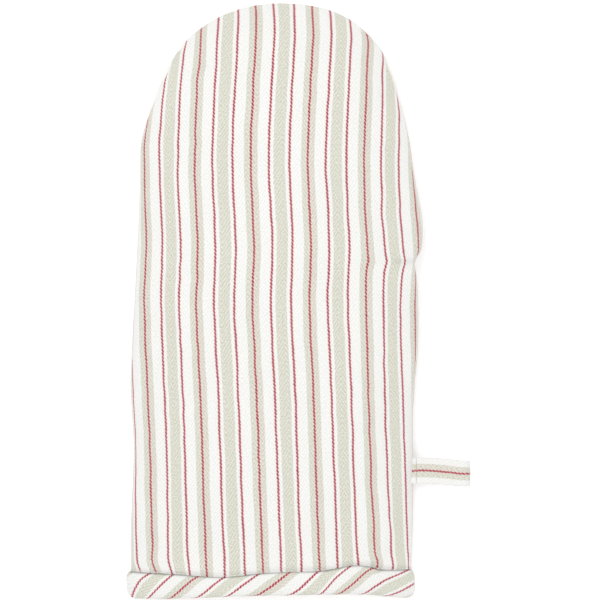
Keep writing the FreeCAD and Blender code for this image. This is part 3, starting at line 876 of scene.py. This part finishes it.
def padding(name: str, place: Callable, low: Callable, high: Callable, form: MittForm,
            clear: float = 1.7 * MM) -> bpy.types.Object:
    """A closed pad between two heights.

    Args:
        name: the piece's name.
        place: gives x and y from shares across and along.
        low: the height of the lower face.
        high: the height of the upper face.
        form: the mitt's shape.
        clear: the room left at each face for the cloth to settle in.

    Returns:
        The pad, not yet dressed.
    """
    build = bmesh.new()
    bmesh.ops.create_grid(build, x_segments=40, y_segments=80, size=1.0)
    thick = bmesh.ops.extrude_face_region(build, geom=build.faces[:])
    lifted = {v for v in thick["geom"] if isinstance(v, bmesh.types.BMVert)}
    across = np.array([v.co.x for v in build.verts])
    along = np.array([(v.co.y + 1) / 2 for v in build.verts])
    x, y = place(across, along)
    side = np.array([1.0 if v in lifted else -1.0 for v in build.verts])
    bottom, top = low(x, y), high(x, y)
    half = np.maximum((top - bottom) / 2 - clear, 0.06 * (top - bottom))
    for vert, point in zip(build.verts, form.row(x, y, (bottom + top) / 2 + half * side)):
        vert.co = point
    bmesh.ops.recalc_face_normals(build, faces=build.faces[:])
    mesh = bpy.data.meshes.new(name)
    build.to_mesh(mesh)
    build.free()
    mesh.polygons.foreach_set("use_smooth", np.ones(len(mesh.polygons), bool))
    piece = bpy.data.objects.new(name, mesh)
    bpy.context.scene.collection.objects.link(piece)
    return piece


@dataclass
class BackWall:
    """The back of the mitt, in one length from cuff to finger tips: cloth, wadding and lining."""

    walls: Walls
    start: float = 2.5 * MM
    cut: tuple[float, float] = (0.172, 0.345)

    def place(self, across: Array, along: Array) -> tuple[Array, Array]:
        """Where a point of the back lies, seen from above."""
        return self.walls.form.plan(across, along, self.start)

    def build(self) -> list[bpy.types.Object]:
        """Builds the three plies."""
        walls, form = self.walls, self.walls.form
        return [
            walls.cloth("back_panel", self.place, form.back, (64, 132),
                        ("back_shell_cuff_half", "back_shell_finger_half"), True, self.cut),
            walls.pad("back_wadding", self.place, form.back_lining, form.back,
                      ("back_wadding_cuff_half", "back_wadding_finger_half")),
            walls.lining("back_lining_cloth", self.place, form.back_lining,
                         ("back_lining_cuff_half", "back_lining_finger_half"), False, self.cut),
        ]


@dataclass
class PalmWall:
    """The palm: a lower and an upper striped panel that meet at the thumb's root, wadding and lining."""

    walls: Walls
    start: float = 2.5 * MM

    def lower(self, across: Array, along: Array) -> tuple[Array, Array]:
        """Where a point of the lower palm lies, seen from above."""
        return self.walls.form.strip(across, along, self.start, self.walls.form.fold)

    def upper(self, across: Array, along: Array) -> tuple[Array, Array]:
        """Where a point of the upper palm lies, seen from above."""
        return self.walls.form.plan(across, along, self.walls.form.fold, 0.43)

    def whole(self, across: Array, along: Array) -> tuple[Array, Array]:
        """Where a point of the whole palm lies, seen from above."""
        return self.walls.form.plan(across, along, self.start)

    def build(self) -> list[bpy.types.Object]:
        """Builds the palm's plies."""
        walls, form = self.walls, self.walls.form
        return [
            walls.cloth("palm_lower_panel", self.lower, form.palm, (56, 70), ("palm_shell_cuff_half",), False,
                        (0.162, form.fold)),
            walls.cloth("palm_upper_panel", self.upper, form.palm, (56, 62), ("palm_shell_finger_half",), False,
                        (0.166, 0.146)),
            walls.pad("palm_wadding", self.whole, form.palm, form.palm_lining,
                      ("palm_wadding_cuff_half", "palm_wadding_finger_half")),
            walls.lining("palm_lining_cloth", self.whole, form.palm_lining,
                         ("palm_lining_cuff_half", "palm_lining_finger_half"), True, (0.162, 0.335)),
        ]


@dataclass
class ThumbForm:
    """The thumb's shape where it lies folded under the fingers. Points are from the mitt's axis and cuff."""

    axis: float = 40 * MM
    root: float = 187 * MM
    hinge: float = 16.4 * MM
    half_root: float = 31.5 * MM
    half_middle: float = 32.3 * MM
    length: float = 90 * MM
    top: float = 15.6 * MM
    floor: float = 0.35 * MM

    def plan(self, across: Array, along: Array) -> tuple[Array, Array]:
        """Where a point of the thumb lies, seen from above."""
        straight = self.length - self.half_middle
        share = straight / self.length
        side = across * (1 + 0.30 * (1 - across * across))
        y = straight * np.clip(along / share, 0, 1)
        half = self.half_root + (self.half_middle - self.half_root) * ease(0, straight, y)
        rise = np.clip((along - share) / (1 - share), 0, 1)
        disc_x, disc_y = across * np.sqrt(1 - rise**2 / 2), rise * np.sqrt(1 - across**2 / 2)
        reach, angle = np.hypot(disc_x, disc_y), np.arctan2(disc_y, disc_x)
        out = reach * (1 + 0.30 * (1 - reach * reach)) * self.half_middle
        x = np.where(rise > 0, out * np.cos(angle), side * half)
        return self.axis + x, self.root + 1.2 * MM + np.where(rise > 0, straight + out * np.sin(angle), y)

    def reach(self, x: Array, y: Array) -> Array:
        """How far out a place is, from 0 on the thumb's middle line to 1 at its seam."""
        base = self.root + self.length - self.half_middle
        half = self.half_root + (self.half_middle - self.half_root) * ease(self.root, base, y)
        return np.clip(np.where(y > base, np.hypot(x - self.axis, y - base), np.abs(x - self.axis)) / half, 0, 1)

    def seam(self, y: Array) -> Array:
        """The height of the thumb's seam."""
        start = self.hinge - 0.95 * MM
        return start - (start - 8.2 * MM) * ease(self.root - 2 * MM, self.root + 27 * MM, y)

    def fullness(self, x: Array, y: Array) -> Array:
        """How full the thumb is, from 0 at its seams and root to 1."""
        opened = 1 - (1 - np.clip((y - self.root) / (26 * MM), 0, 1)) ** 2
        return (1 - self.reach(x, y) ** 2.8) ** 0.55 * opened

    def inner(self, x: Array, y: Array) -> Array:
        """The height of the face that lies against the palm."""
        return self.seam(y) + np.maximum(self.top - self.seam(y), 0) * self.fullness(x, y)

    def outer(self, x: Array, y: Array) -> Array:
        """The height of the face that rests on the table."""
        crease = 0.5 * MM * bump(self.root + 30 * MM, 7 * MM, y) * np.cos((x - self.axis) / (9 * MM))
        depth = (self.seam(y) - self.floor - np.maximum(crease, 0)) * self.fullness(x, y)
        slope = self.hinge - 1.0 * MM - 0.58 * (y - self.root - 1.2 * MM)
        return np.maximum(self.seam(y) - depth, np.minimum(slope, self.seam(y)))


@dataclass
class Thumb:
    """The thumb: an outer and an inner striped face, each with its wadding and lining."""

    form: MittForm
    finishes: Finishes
    shape: ThumbForm = field(default_factory=ThumbForm)

    def build(self) -> list[bpy.types.Object]:
        """Builds the thumb's two walls and what lies in them."""
        shape = self.shape
        middle = shape.seam
        pieces = [
            self.cloth("thumb_outer_face", shape.outer, False, ("thumb_outer_shell",)),
            self.cloth("thumb_inner_face", shape.inner, True, ("thumb_inner_shell",)),
        ]
        for name, height in (("thumb_outer", shape.outer), ("thumb_inner", shape.inner)):
            def sunk(x: Array, y: Array, face: Callable = height) -> Array:
                """The height of the lining on this side."""
                return middle(y) + (face(x, y) - middle(y)) * 0.42
            faces = (height, sunk) if name == "thumb_outer" else (sunk, height)
            pad = padding(f"{name}_pad", self.inset, *faces, self.form)
            dress(pad, self.finishes.wadding)
            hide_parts(f"{name}_wadding")
            pieces += [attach(pad, Body.THUMB.value), self.lining(name, sunk)]
        return pieces

    def inset(self, across: Array, along: Array) -> tuple[Array, Array]:
        """A place a little inside the thumb's seam."""
        return self.shape.plan(across * 0.93, 0.10 + along * 0.86)

    def cloth(self, name: str, height: Callable, up: bool, nodes: Sequence[str]) -> bpy.types.Object:
        """One striped face of the thumb.

        Args:
            name: the piece's name.
            height: the face's height at a place.
            up: True where the face looks up.
            nodes: the CAD nodes that it stands for.

        Returns:
            The finished face.
        """
        sheet = Sheet(name, 36, 50)
        x, y = self.shape.plan(sheet.across, sheet.along)
        middle = self.shape.axis
        around = middle + self.form.cloth_length(lambda u, v: height(u + middle, v), x - middle, y, True)
        sheet.print_cloth(np.stack([around - self.form.stripe_drift(y), y], axis=-1))
        sheet.lay(self.form.row(x, y, height(x, y)))
        sheet.face_up(up)
        Relaxing(cap=0.5 * MM, growth=0.02).settle(sheet, sheet.rim())
        sheet.refine()
        sheet.thicken(0.6 * MM)
        sheet.smooth()
        dress(sheet.object, self.finishes.twill)
        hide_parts(*nodes)
        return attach(sheet.object, Body.THUMB.value)

    def lining(self, name: str, height: Callable) -> bpy.types.Object:
        """The lining of one side of the thumb."""
        sheet = Sheet(f"{name}_lining_cloth", 24, 36)
        x, y = self.inset(sheet.across, sheet.along)
        sheet.print_cloth(np.stack([x, y], axis=-1))
        sheet.lay(self.form.row(x, y, height(x, y)))
        sheet.face_up(name == "thumb_outer")
        sheet.thicken(0.5 * MM)
        sheet.smooth()
        dress(sheet.object, self.finishes.cotton)
        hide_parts(f"{name}_lining")
        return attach(sheet.object, Body.THUMB.value)


class MouthPath:
    """The line round the cuff's mouth: over the back from left to right, then back along the palm."""

    def __init__(self, form: MittForm, at: float, steps: int = 400) -> None:
        """Traces the line.

        Args:
            form: the mitt's shape.
            at: how far from the cuff's edge it is traced.
            steps: points on each half.
        """
        shares = np.sin(np.linspace(-math.pi / 2, math.pi / 2, steps))
        x = np.where(shares > 0, shares * form.right_edge(at), shares * form.left_edge(at))
        y = np.full_like(x, at)
        over = np.stack([x, form.back(x, y)], axis=-1)
        under = np.stack([x, form.palm(x, y)], axis=-1)[::-1]
        self.line = np.concatenate([over, under[1:]])
        steps_between = np.linalg.norm(np.diff(self.line, axis=0), axis=1)
        self.length = np.concatenate([[0], np.cumsum(steps_between)])
        self.total = float(self.length[-1])
        self.half = float(self.length[steps - 1])

    def at(self, length: Array) -> tuple[Array, Array]:
        """Points on the line, and the directions that lead out of the mitt there.

        Args:
            length: lengths along the line.

        Returns:
            The x and z of each point, and its outward direction.
        """
        place = np.mod(length, self.total)
        point = np.stack([np.interp(place, self.length, self.line[:, k]) for k in (0, 1)], axis=-1)
        reach = 1.6 * MM
        ahead = np.stack([np.interp(np.mod(place + reach, self.total), self.length, self.line[:, k])
                          for k in (0, 1)], axis=-1)
        behind = np.stack([np.interp(np.mod(place - reach, self.total), self.length, self.line[:, k])
                           for k in (0, 1)], axis=-1)
        run = ahead - behind
        out = np.stack([-run[:, 1], run[:, 0]], axis=-1)
        return point, out / np.linalg.norm(out, axis=1, keepdims=True)


@dataclass
class CuffBinding:
    """The bias binding that wraps the cuff's edge, and the stitches in the ditch above it."""

    form: MittForm
    finishes: Finishes
    ply: float = 0.9 * MM
    wall: float = 4.4 * MM
    fullness: float = 1.0 * MM
    inner_depth: float = 11.5 * MM
    low_edge: Curve = field(default_factory=lambda: Curve([
        (-80 * MM, -1.5 * MM), (-58 * MM, -1.1 * MM), (-40 * MM, -0.4 * MM), (-21 * MM, 0.4 * MM),
        (0, 1.0 * MM), (20 * MM, 1.3 * MM), (45 * MM, 1.5 * MM), (56 * MM, 1.0 * MM), (64 * MM, 0.0),
        (71 * MM, -0.8 * MM), (80 * MM, -1.0 * MM)]))
    red_lines_low: Sequence[float] = (-78.7, -69.6, -57.2, -42.2, -26.1, -9.4, 9.2, 26.4, 36.5, 50.2, 63.5)
    red_lines_high: Sequence[float] = (-68.0, -55.1, -41.1, -26.6, -6.8, 10.2, 25.8, 43.7, 56.8, 75.7, 93.0)
    first_line: int = -2
    bias_share: float = 0.68
    section: Sequence[tuple[float, float, float]] = (
        (0.00, 0.985, -0.5), (0.045, 1.0, 0.1), (0.11, 0.94, 1.05), (0.20, 0.78, 1.75), (0.32, 0.52, 2.0),
        (0.42, 0.26, 1.9), (0.49, 0.08, 1.2), (0.545, 0.0, -0.6), (0.60, 0.0, -2.8), (0.655, 0.08, -4.6),
        (0.72, 0.28, -5.3), (0.84, 0.60, -5.3), (1.0, 0.86, -4.9))

    def build(self) -> list[bpy.types.Object]:
        """Builds the binding and its stitches."""
        return [self.strip(), self.stitches()]

    def strip(self) -> bpy.types.Object:
        """The folded strip, round the whole mouth."""
        path = MouthPath(self.form, 7 * MM)
        sheet = Sheet("bias_binding", 260, 26)
        around = (sheet.across + 1) / 2 * path.total
        point, out = path.at(around)
        share, depth, lift = (np.array(c) for c in zip(*self.section))
        cut = 1 - sheet.along
        over = ease(-4 * MM, 4 * MM, path.half - around) * ease(-4 * MM, 4 * MM, around)
        top = self.form.binding_top(point[:, 0]) * over + 13.5 * MM * (1 - over)
        low = self.low_edge(point[:, 0]) * over + 0.9 * MM * (1 - over)
        level = Curve(list(zip(share, depth)))(cut)
        y = low + (top - low) * level
        side = np.clip(np.abs(point[:, 0]) / (79 * MM), 0, 1) ** 10
        away = Curve(list(zip(share, lift)))(cut) * MM
        away = np.where(away > 0, away * self.fullness / MM, away)
        deep = np.where(away < 0, away * (1 - 0.35 * side), away)
        ripple = 0.22 * MM * np.sin(around / (5.6 * MM)) * bump(0.25, 0.16, cut)
        ripple += 0.18 * MM * np.sin(around / (9.1 * MM) + 2) * bump(0.2, 0.12, cut)
        place = point + out * (deep + ripple)[:, None]
        down = np.maximum(0.45 * MM - place[:, 1], 0)
        place[:, 1] += down
        sheet.lay(self.form.row(place[:, 0], y, place[:, 1]))
        length = Curve([(0, 0), (0.5, 17.5 * MM), (0.6, 21.5 * MM), (1.0, 34 * MM)])(cut)
        lengths = np.stack([self.stripes(path, around, point[:, 0], level, length),
                            (around - length) * math.sqrt(0.5)], axis=-1)
        # Painted shade: a thin dark line painted along the binding's top edge, where it meets the body cloth.
        sheet.mark_crease_shade(ease(0.13, 0.06, cut) * over)
        sheet.print_cloth(lengths)
        sheet.thicken(self.ply)
        build = bmesh.new()
        build.from_mesh(sheet.mesh)
        bmesh.ops.remove_doubles(build, verts=build.verts[:], dist=0.01 * MM)
        bmesh.ops.recalc_face_normals(build, faces=build.faces[:])
        build.to_mesh(sheet.mesh)
        build.free()
        sheet.smooth()
        dress(sheet.object, self.finishes.twill)
        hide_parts("cuff_binding")
        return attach(sheet.object, Body.HAND.value)

    def stripes(self, path: MouthPath, around: Array, x: Array, level: Array, length: Array) -> Array:
        """The across-grain place of each point, for stripes that cross the binding on the bias.

        The stripes slant up to the right, more or less as the strip was pulled, and flatten at its edges.

        Args:
            path: the line round the mouth.
            around: lengths round the mouth.
            x: places across the mitt.
            level: heights on the outer leg, from 0 at the rolled edge to 1 at the ditch.
            length: lengths over the section, from the ditch.

        Returns:
            Lengths in metres.
        """
        cloth = StripedTwill()
        order = [self.first_line + k for k in range(len(self.red_lines_low))]
        place = [k // 3 * cloth.repeat + (0, cloth.pair_place, cloth.repeat - cloth.pair_place)[k % 3] for k in order]
        low = Curve(list(zip(self.red_lines_low, place)))
        high = Curve(list(zip(self.red_lines_high, place)))
        across = x / MM
        pull = np.clip(level + 0.025 * np.sin(2 * math.pi * level), 0, 1)

        def beyond(line: Curve, where: Array) -> Array:
            """A line's value, carried on at an even pace past its ends."""
            past = where - np.clip(where, line.place[0], line.place[-1])
            return line(where) + past * self.bias_share

        over = beyond(low, across) * (1 - pull) + beyond(high, across) * pull
        outer = self.bias_share * (np.where(length > 17.5 * MM, length - 17.5 * MM, 0)) / MM
        right, left = (float(beyond(low, np.array(path.at(np.array([at]))[0][0, 0] / MM))) for at in (path.half, 0.0))
        under_length = (path.total - path.half) / MM
        turns = round((right + self.bias_share * under_length - left) / cloth.repeat)
        pace = (left + turns * cloth.repeat - right) / under_length
        under = right + (around - path.half) / MM * pace - (level * 17 * self.bias_share)
        return np.where(around <= path.half, over, under) * MM + outer * MM

    def stitches(self) -> bpy.types.Object:
        """The stitches sunk in the ditch where the binding meets the wall."""
        path = MouthPath(self.form, 14 * MM)
        count = int(path.total / (2.6 * MM))
        around = (np.arange(count) + 0.5) / count * path.total
        point, out = path.at(around)
        over = around < path.half
        y = np.where(over, self.form.binding_top(point[:, 0]), 13.5 * MM) + 0.5 * MM
        place = point - out * 0.25 * MM
        centres = self.form.row(place[:, 0], y, np.maximum(place[:, 1], 0.4 * MM))
        ahead = np.roll(centres, -1, axis=0) - centres
        piece = stitch_run("binding_stitches", centres, ahead, 1.9 * MM, 0.22 * MM)
        dress(piece, self.finishes.thread)
        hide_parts("cuff_binding_thread")
        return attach(piece, Body.HAND.value)


def stitch_run(name: str, centres: Array, runs: Array, length: float, radius: float) -> bpy.types.Object:
    """A row of short sewn stitches, one small rounded thread each.

    Args:
        name: the piece's name.
        centres: the middle of each stitch.
        runs: the direction of each stitch.
        length: a stitch's length.
        radius: the thread's radius.

    Returns:
        The row as one piece.
    """
    single = bmesh.new()
    bmesh.ops.create_uvsphere(single, u_segments=6, v_segments=5, radius=1.0)
    bmesh.ops.scale(single, vec=(radius, radius, length / 2), verts=single.verts[:])
    stitch = bpy.data.meshes.new("stitch")
    single.to_mesh(stitch)
    single.free()
    build = bmesh.new()
    for centre, run in zip(centres, runs):
        placed = stitch.copy()
        turn = Vector(run).to_track_quat("Z", "Y").to_matrix().to_4x4()
        placed.transform(Matrix.Translation(Vector(centre)) @ turn)
        build.from_mesh(placed)
        bpy.data.meshes.remove(placed)
    mesh = bpy.data.meshes.new(name)
    build.to_mesh(mesh)
    build.free()
    bpy.data.meshes.remove(stitch)
    mesh.polygons.foreach_set("use_smooth", np.ones(len(mesh.polygons), bool))
    piece = bpy.data.objects.new(name, mesh)
    bpy.context.scene.collection.objects.link(piece)
    return piece


@dataclass
class Seams:
    """The stitches that close the side seam, the palm's cross seam and the thumb's seam."""

    form: MittForm
    finishes: Finishes
    line: FoldLine
    thumb: ThumbForm
    pitch: float = 2.6 * MM
    length: float = 2.0 * MM
    radius: float = 0.22 * MM

    def build(self) -> list[bpy.types.Object]:
        """Builds the three rows of stitches."""
        return [self.side(), self.palm(), self.thumb_row()]

    def spread(self, x: Array, y: Array, z: Array, name: str) -> bpy.types.Object:
        """Stitches spread evenly along a line of points.

        Args:
            x: the line's places across.
            y: the line's places along.
            z: the line's heights.
            name: the piece's name.

        Returns:
            The dressed row.
        """
        line = self.form.row(x, y, z)
        gone = np.concatenate([[0], np.cumsum(np.linalg.norm(np.diff(line, axis=0), axis=1))])
        marks = np.arange(self.pitch / 2, gone[-1], self.pitch)
        centres = np.stack([np.interp(marks, gone, line[:, k]) for k in range(3)], axis=-1)
        ends = np.stack([np.interp(marks + self.pitch / 4, gone, line[:, k]) for k in range(3)], axis=-1)
        piece = stitch_run(name, centres, ends - centres + 1e-9, self.length, self.radius)
        dress(piece, self.finishes.thread)
        return piece

    def side(self) -> bpy.types.Object:
        """The stitches round the side seam, from the cuff up one side and down the other."""
        form = self.form
        up = np.linspace(16 * MM, form.tip_base, 120)
        turn = np.linspace(0, math.pi, 160)[1:-1]
        tip = form.tip_edge(turn)
        inset = 1.2 * MM
        x = np.concatenate([form.right_edge(up) - inset, form.tip_lean + (tip - inset) * np.cos(turn),
                            inset - form.left_edge(up[::-1])])
        y = np.concatenate([up, form.tip_base + (tip - inset) * np.sin(turn), up[::-1]])
        piece = self.spread(x, y, form.seam_height(x, y), "side_seam_stitches")
        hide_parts("side_seam_thread_cuff_half", "side_seam_thread_finger_half")
        self.line.bend(piece)
        return piece

    def palm(self) -> bpy.types.Object:
        """The stitches across the palm, at the thumb's root."""
        form = self.form
        x = np.linspace(-74 * MM, 76 * MM, 200)
        y = np.full_like(x, form.fold - 1.0 * MM)
        piece = self.spread(x, y, form.palm(x, y) + 0.9 * MM, "palm_seam_stitches")
        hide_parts("palm_seam_thread")
        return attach(piece, Body.HAND.value)

    def thumb_row(self) -> bpy.types.Object:
        """The stitches round the thumb's seam."""
        rise = np.linspace(0.02, 1.0, 100)
        right = self.thumb.plan(np.full_like(rise, 0.985), rise)
        over = self.thumb.plan(np.linspace(0.985, -0.985, 80)[1:-1], np.ones(78))
        left = self.thumb.plan(np.full_like(rise, -0.985), rise[::-1])
        x, y = (np.concatenate([a, b, c]) for a, b, c in zip(right, over, left))
        piece = self.spread(x, y, self.thumb.seam(y), "thumb_seam_stitches")
        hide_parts("thumb_seam_thread")
        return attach(piece, Body.THUMB.value)


@dataclass
class HangingLoop:
    """The striped strip folded into a hanging loop, and its tail caught in the side seam."""

    form: MittForm
    finishes: Finishes
    root: float = 80.5 * MM
    end: float = 109.6 * MM
    middle: float = 70.2 * MM
    width: float = 14.3 * MM
    height: float = 9.9 * MM
    ply: float = 1.1 * MM
    eye: float = 2.9 * MM
    droop: float = 1.6 * MM

    def build(self) -> list[bpy.types.Object]:
        """Builds the loop and its tail, which are one strip of cloth."""
        tail, strip = self.tail(), self.strip()
        return [strip, tail]

    def strip(self) -> bpy.types.Object:
        """The loop, out along its upper leg, round its fold and back."""
        sheet = Sheet("hanging_loop_strip", 12, 72)
        leg = self.end - self.root - self.eye
        turn = math.pi * self.eye
        gone = sheet.along * (2 * leg + turn)
        angle = np.clip((gone - leg) / self.eye, 0, math.pi)
        out = np.where(gone < leg, gone, np.where(gone > leg + turn, 2 * leg + turn - gone, leg))
        half = 0.5 * MM + (self.eye - 0.5 * MM) * ease(0, leg, out)
        x = self.root + out + half * np.sin(angle)
        z = self.height + half * np.cos(angle)
        side = sheet.across * self.width / 2
        y = self.middle + side - self.droop * (out / leg) * ease(0, leg, out)
        z += 0.25 * MM * (1 - sheet.across**2) * np.cos(angle)
        sheet.lay(self.form.row(x, y, z))
        sheet.print_cloth(np.stack([side, gone], axis=-1))
        sheet.thicken(self.ply)
        trim = sheet.object.modifiers.new("soft_edge", "BEVEL")
        trim.width = 0.35 * MM
        trim.segments = 2
        trim.limit_method = "ANGLE"
        bake_modifiers(sheet.object)
        sheet.mesh = sheet.object.data
        build = bmesh.new()
        build.from_mesh(sheet.mesh)
        bmesh.ops.recalc_face_normals(build, faces=build.faces[:])
        build.to_mesh(sheet.mesh)
        build.free()
        sheet.smooth()
        dress(sheet.object, self.finishes.twill)
        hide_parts("hanging_loop")
        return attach(sheet.object, Body.LOOP.value)

    def tail(self) -> bpy.types.Object:
        """The short tail that runs in through the side seam."""
        sheet = Sheet("loop_tail_strip", 10, 6)
        x = self.root - 6.6 * MM + sheet.along * 6.25 * MM
        side = sheet.across * self.width / 2
        z = np.full_like(x, self.height + 0.5 * self.ply)
        sheet.lay(self.form.row(x, self.middle + side, z))
        sheet.print_cloth(np.stack([side, x], axis=-1))
        sheet.thicken(self.ply)
        dress(sheet.object, self.finishes.twill)
        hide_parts("loop_tail")
        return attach(sheet.object, Body.HAND.value)


@dataclass
class Studio:
    """A pale floor, soft light from all round, and a camera that looks straight down."""

    centre: tuple[float, float] = (0.0, 0.0008)
    view_width: float = 0.3350
    distance: float = 2.4
    level: float = 0.02

    def build(self) -> None:
        """Sets the floor, the lights and the camera."""
        self.floor()
        self.world()
        self.lamp("key_light", (-0.45, 0.5, 1.7), 1.1, 14.0)
        self.lamp("fill_light", (0.8, -0.7, 1.5), 1.4, 6.2)
        self.camera()

    def floor(self) -> None:
        """A plain pale floor under the mitt."""
        build = bmesh.new()
        bmesh.ops.create_grid(build, x_segments=1, y_segments=1, size=3.0)
        mesh = bpy.data.meshes.new("floor")
        build.to_mesh(mesh)
        build.free()
        floor = bpy.data.objects.new("floor", mesh)
        bpy.context.scene.collection.objects.link(floor)
        paint = bpy.data.materials.new("pale_floor")
        paint.use_nodes = True
        shader = paint.node_tree.nodes["Principled BSDF"]
        shader.inputs["Base Color"].default_value = (0.96, 0.96, 0.96, 1)
        shader.inputs["Roughness"].default_value = 1.0
        shader.inputs["Specular IOR Level"].default_value = 0.0
        shader.inputs["Emission Color"].default_value = (1, 1, 1, 1)
        shader.inputs["Emission Strength"].default_value = 0.16
        mesh.materials.append(paint)

    def world(self) -> None:
        """Even white light from all round."""
        world = bpy.data.worlds.new("soft_white")
        bpy.context.scene.world = world
        world.use_nodes = True
        sky = world.node_tree.nodes["Background"]
        sky.inputs[0].default_value = (1, 1, 1, 1)
        sky.inputs[1].default_value = 0.80
        bpy.context.scene.view_settings.view_transform = "Standard"

    def lamp(self, name: str, place: tuple[float, float, float], size: float, power: float) -> None:
        """A large soft light turned to the mitt.

        Args:
            name: the light's name.
            place: where it hangs.
            size: how wide it is.
            power: its power in watts.
        """
        light = bpy.data.lights.new(name, "AREA")
        light.size = size
        light.energy = power
        lamp = bpy.data.objects.new(name, light)
        lamp.location = place
        lamp.rotation_euler = (-Vector(place)).to_track_quat("-Z", "Y").to_euler()
        bpy.context.scene.collection.objects.link(lamp)

    def camera(self) -> None:
        """A long lens, straight down."""
        lens = bpy.data.cameras.new("camera")
        lens.sensor_width = 36
        lens.lens = 36 * (self.distance - self.level) / self.view_width
        lens.clip_end = 20
        camera = bpy.data.objects.new("camera", lens)
        camera.location = (*self.centre, self.distance)
        bpy.context.scene.collection.objects.link(camera)
        bpy.context.scene.camera = camera


def main() -> None:
    """Builds the mitt, piece by piece, and its studio."""
    logging.basicConfig(level=logging.INFO, format="%(name)s: %(message)s")
    low = CAD_BOX[0]
    hinge = next(j for j in frame["joints"] if j["name"] == "finger_fold")
    across, along, height = hinge["pos_m"]
    form = MittForm(axis=across, cuff=low[1], fold=along - low[1], fold_height=height)
    finishes = Finishes(StripedTwill().make(), PlainCotton().make(), CottonWadding().make(), SewingThread().make())
    line = FoldLine(form)
    walls = Walls(form, finishes, line)
    thumb = ThumbForm(hinge=height)
    parts = (BackWall(walls), PalmWall(walls), Thumb(form, finishes, thumb), CuffBinding(form, finishes),
             Seams(form, finishes, line, thumb), HangingLoop(form, finishes))
    for part in parts:
        for piece in part.build():
            LOG.info("%s: %d faces", piece.name, len(piece.data.polygons))
    Studio().build()


if __name__ == "__main__":
    main()
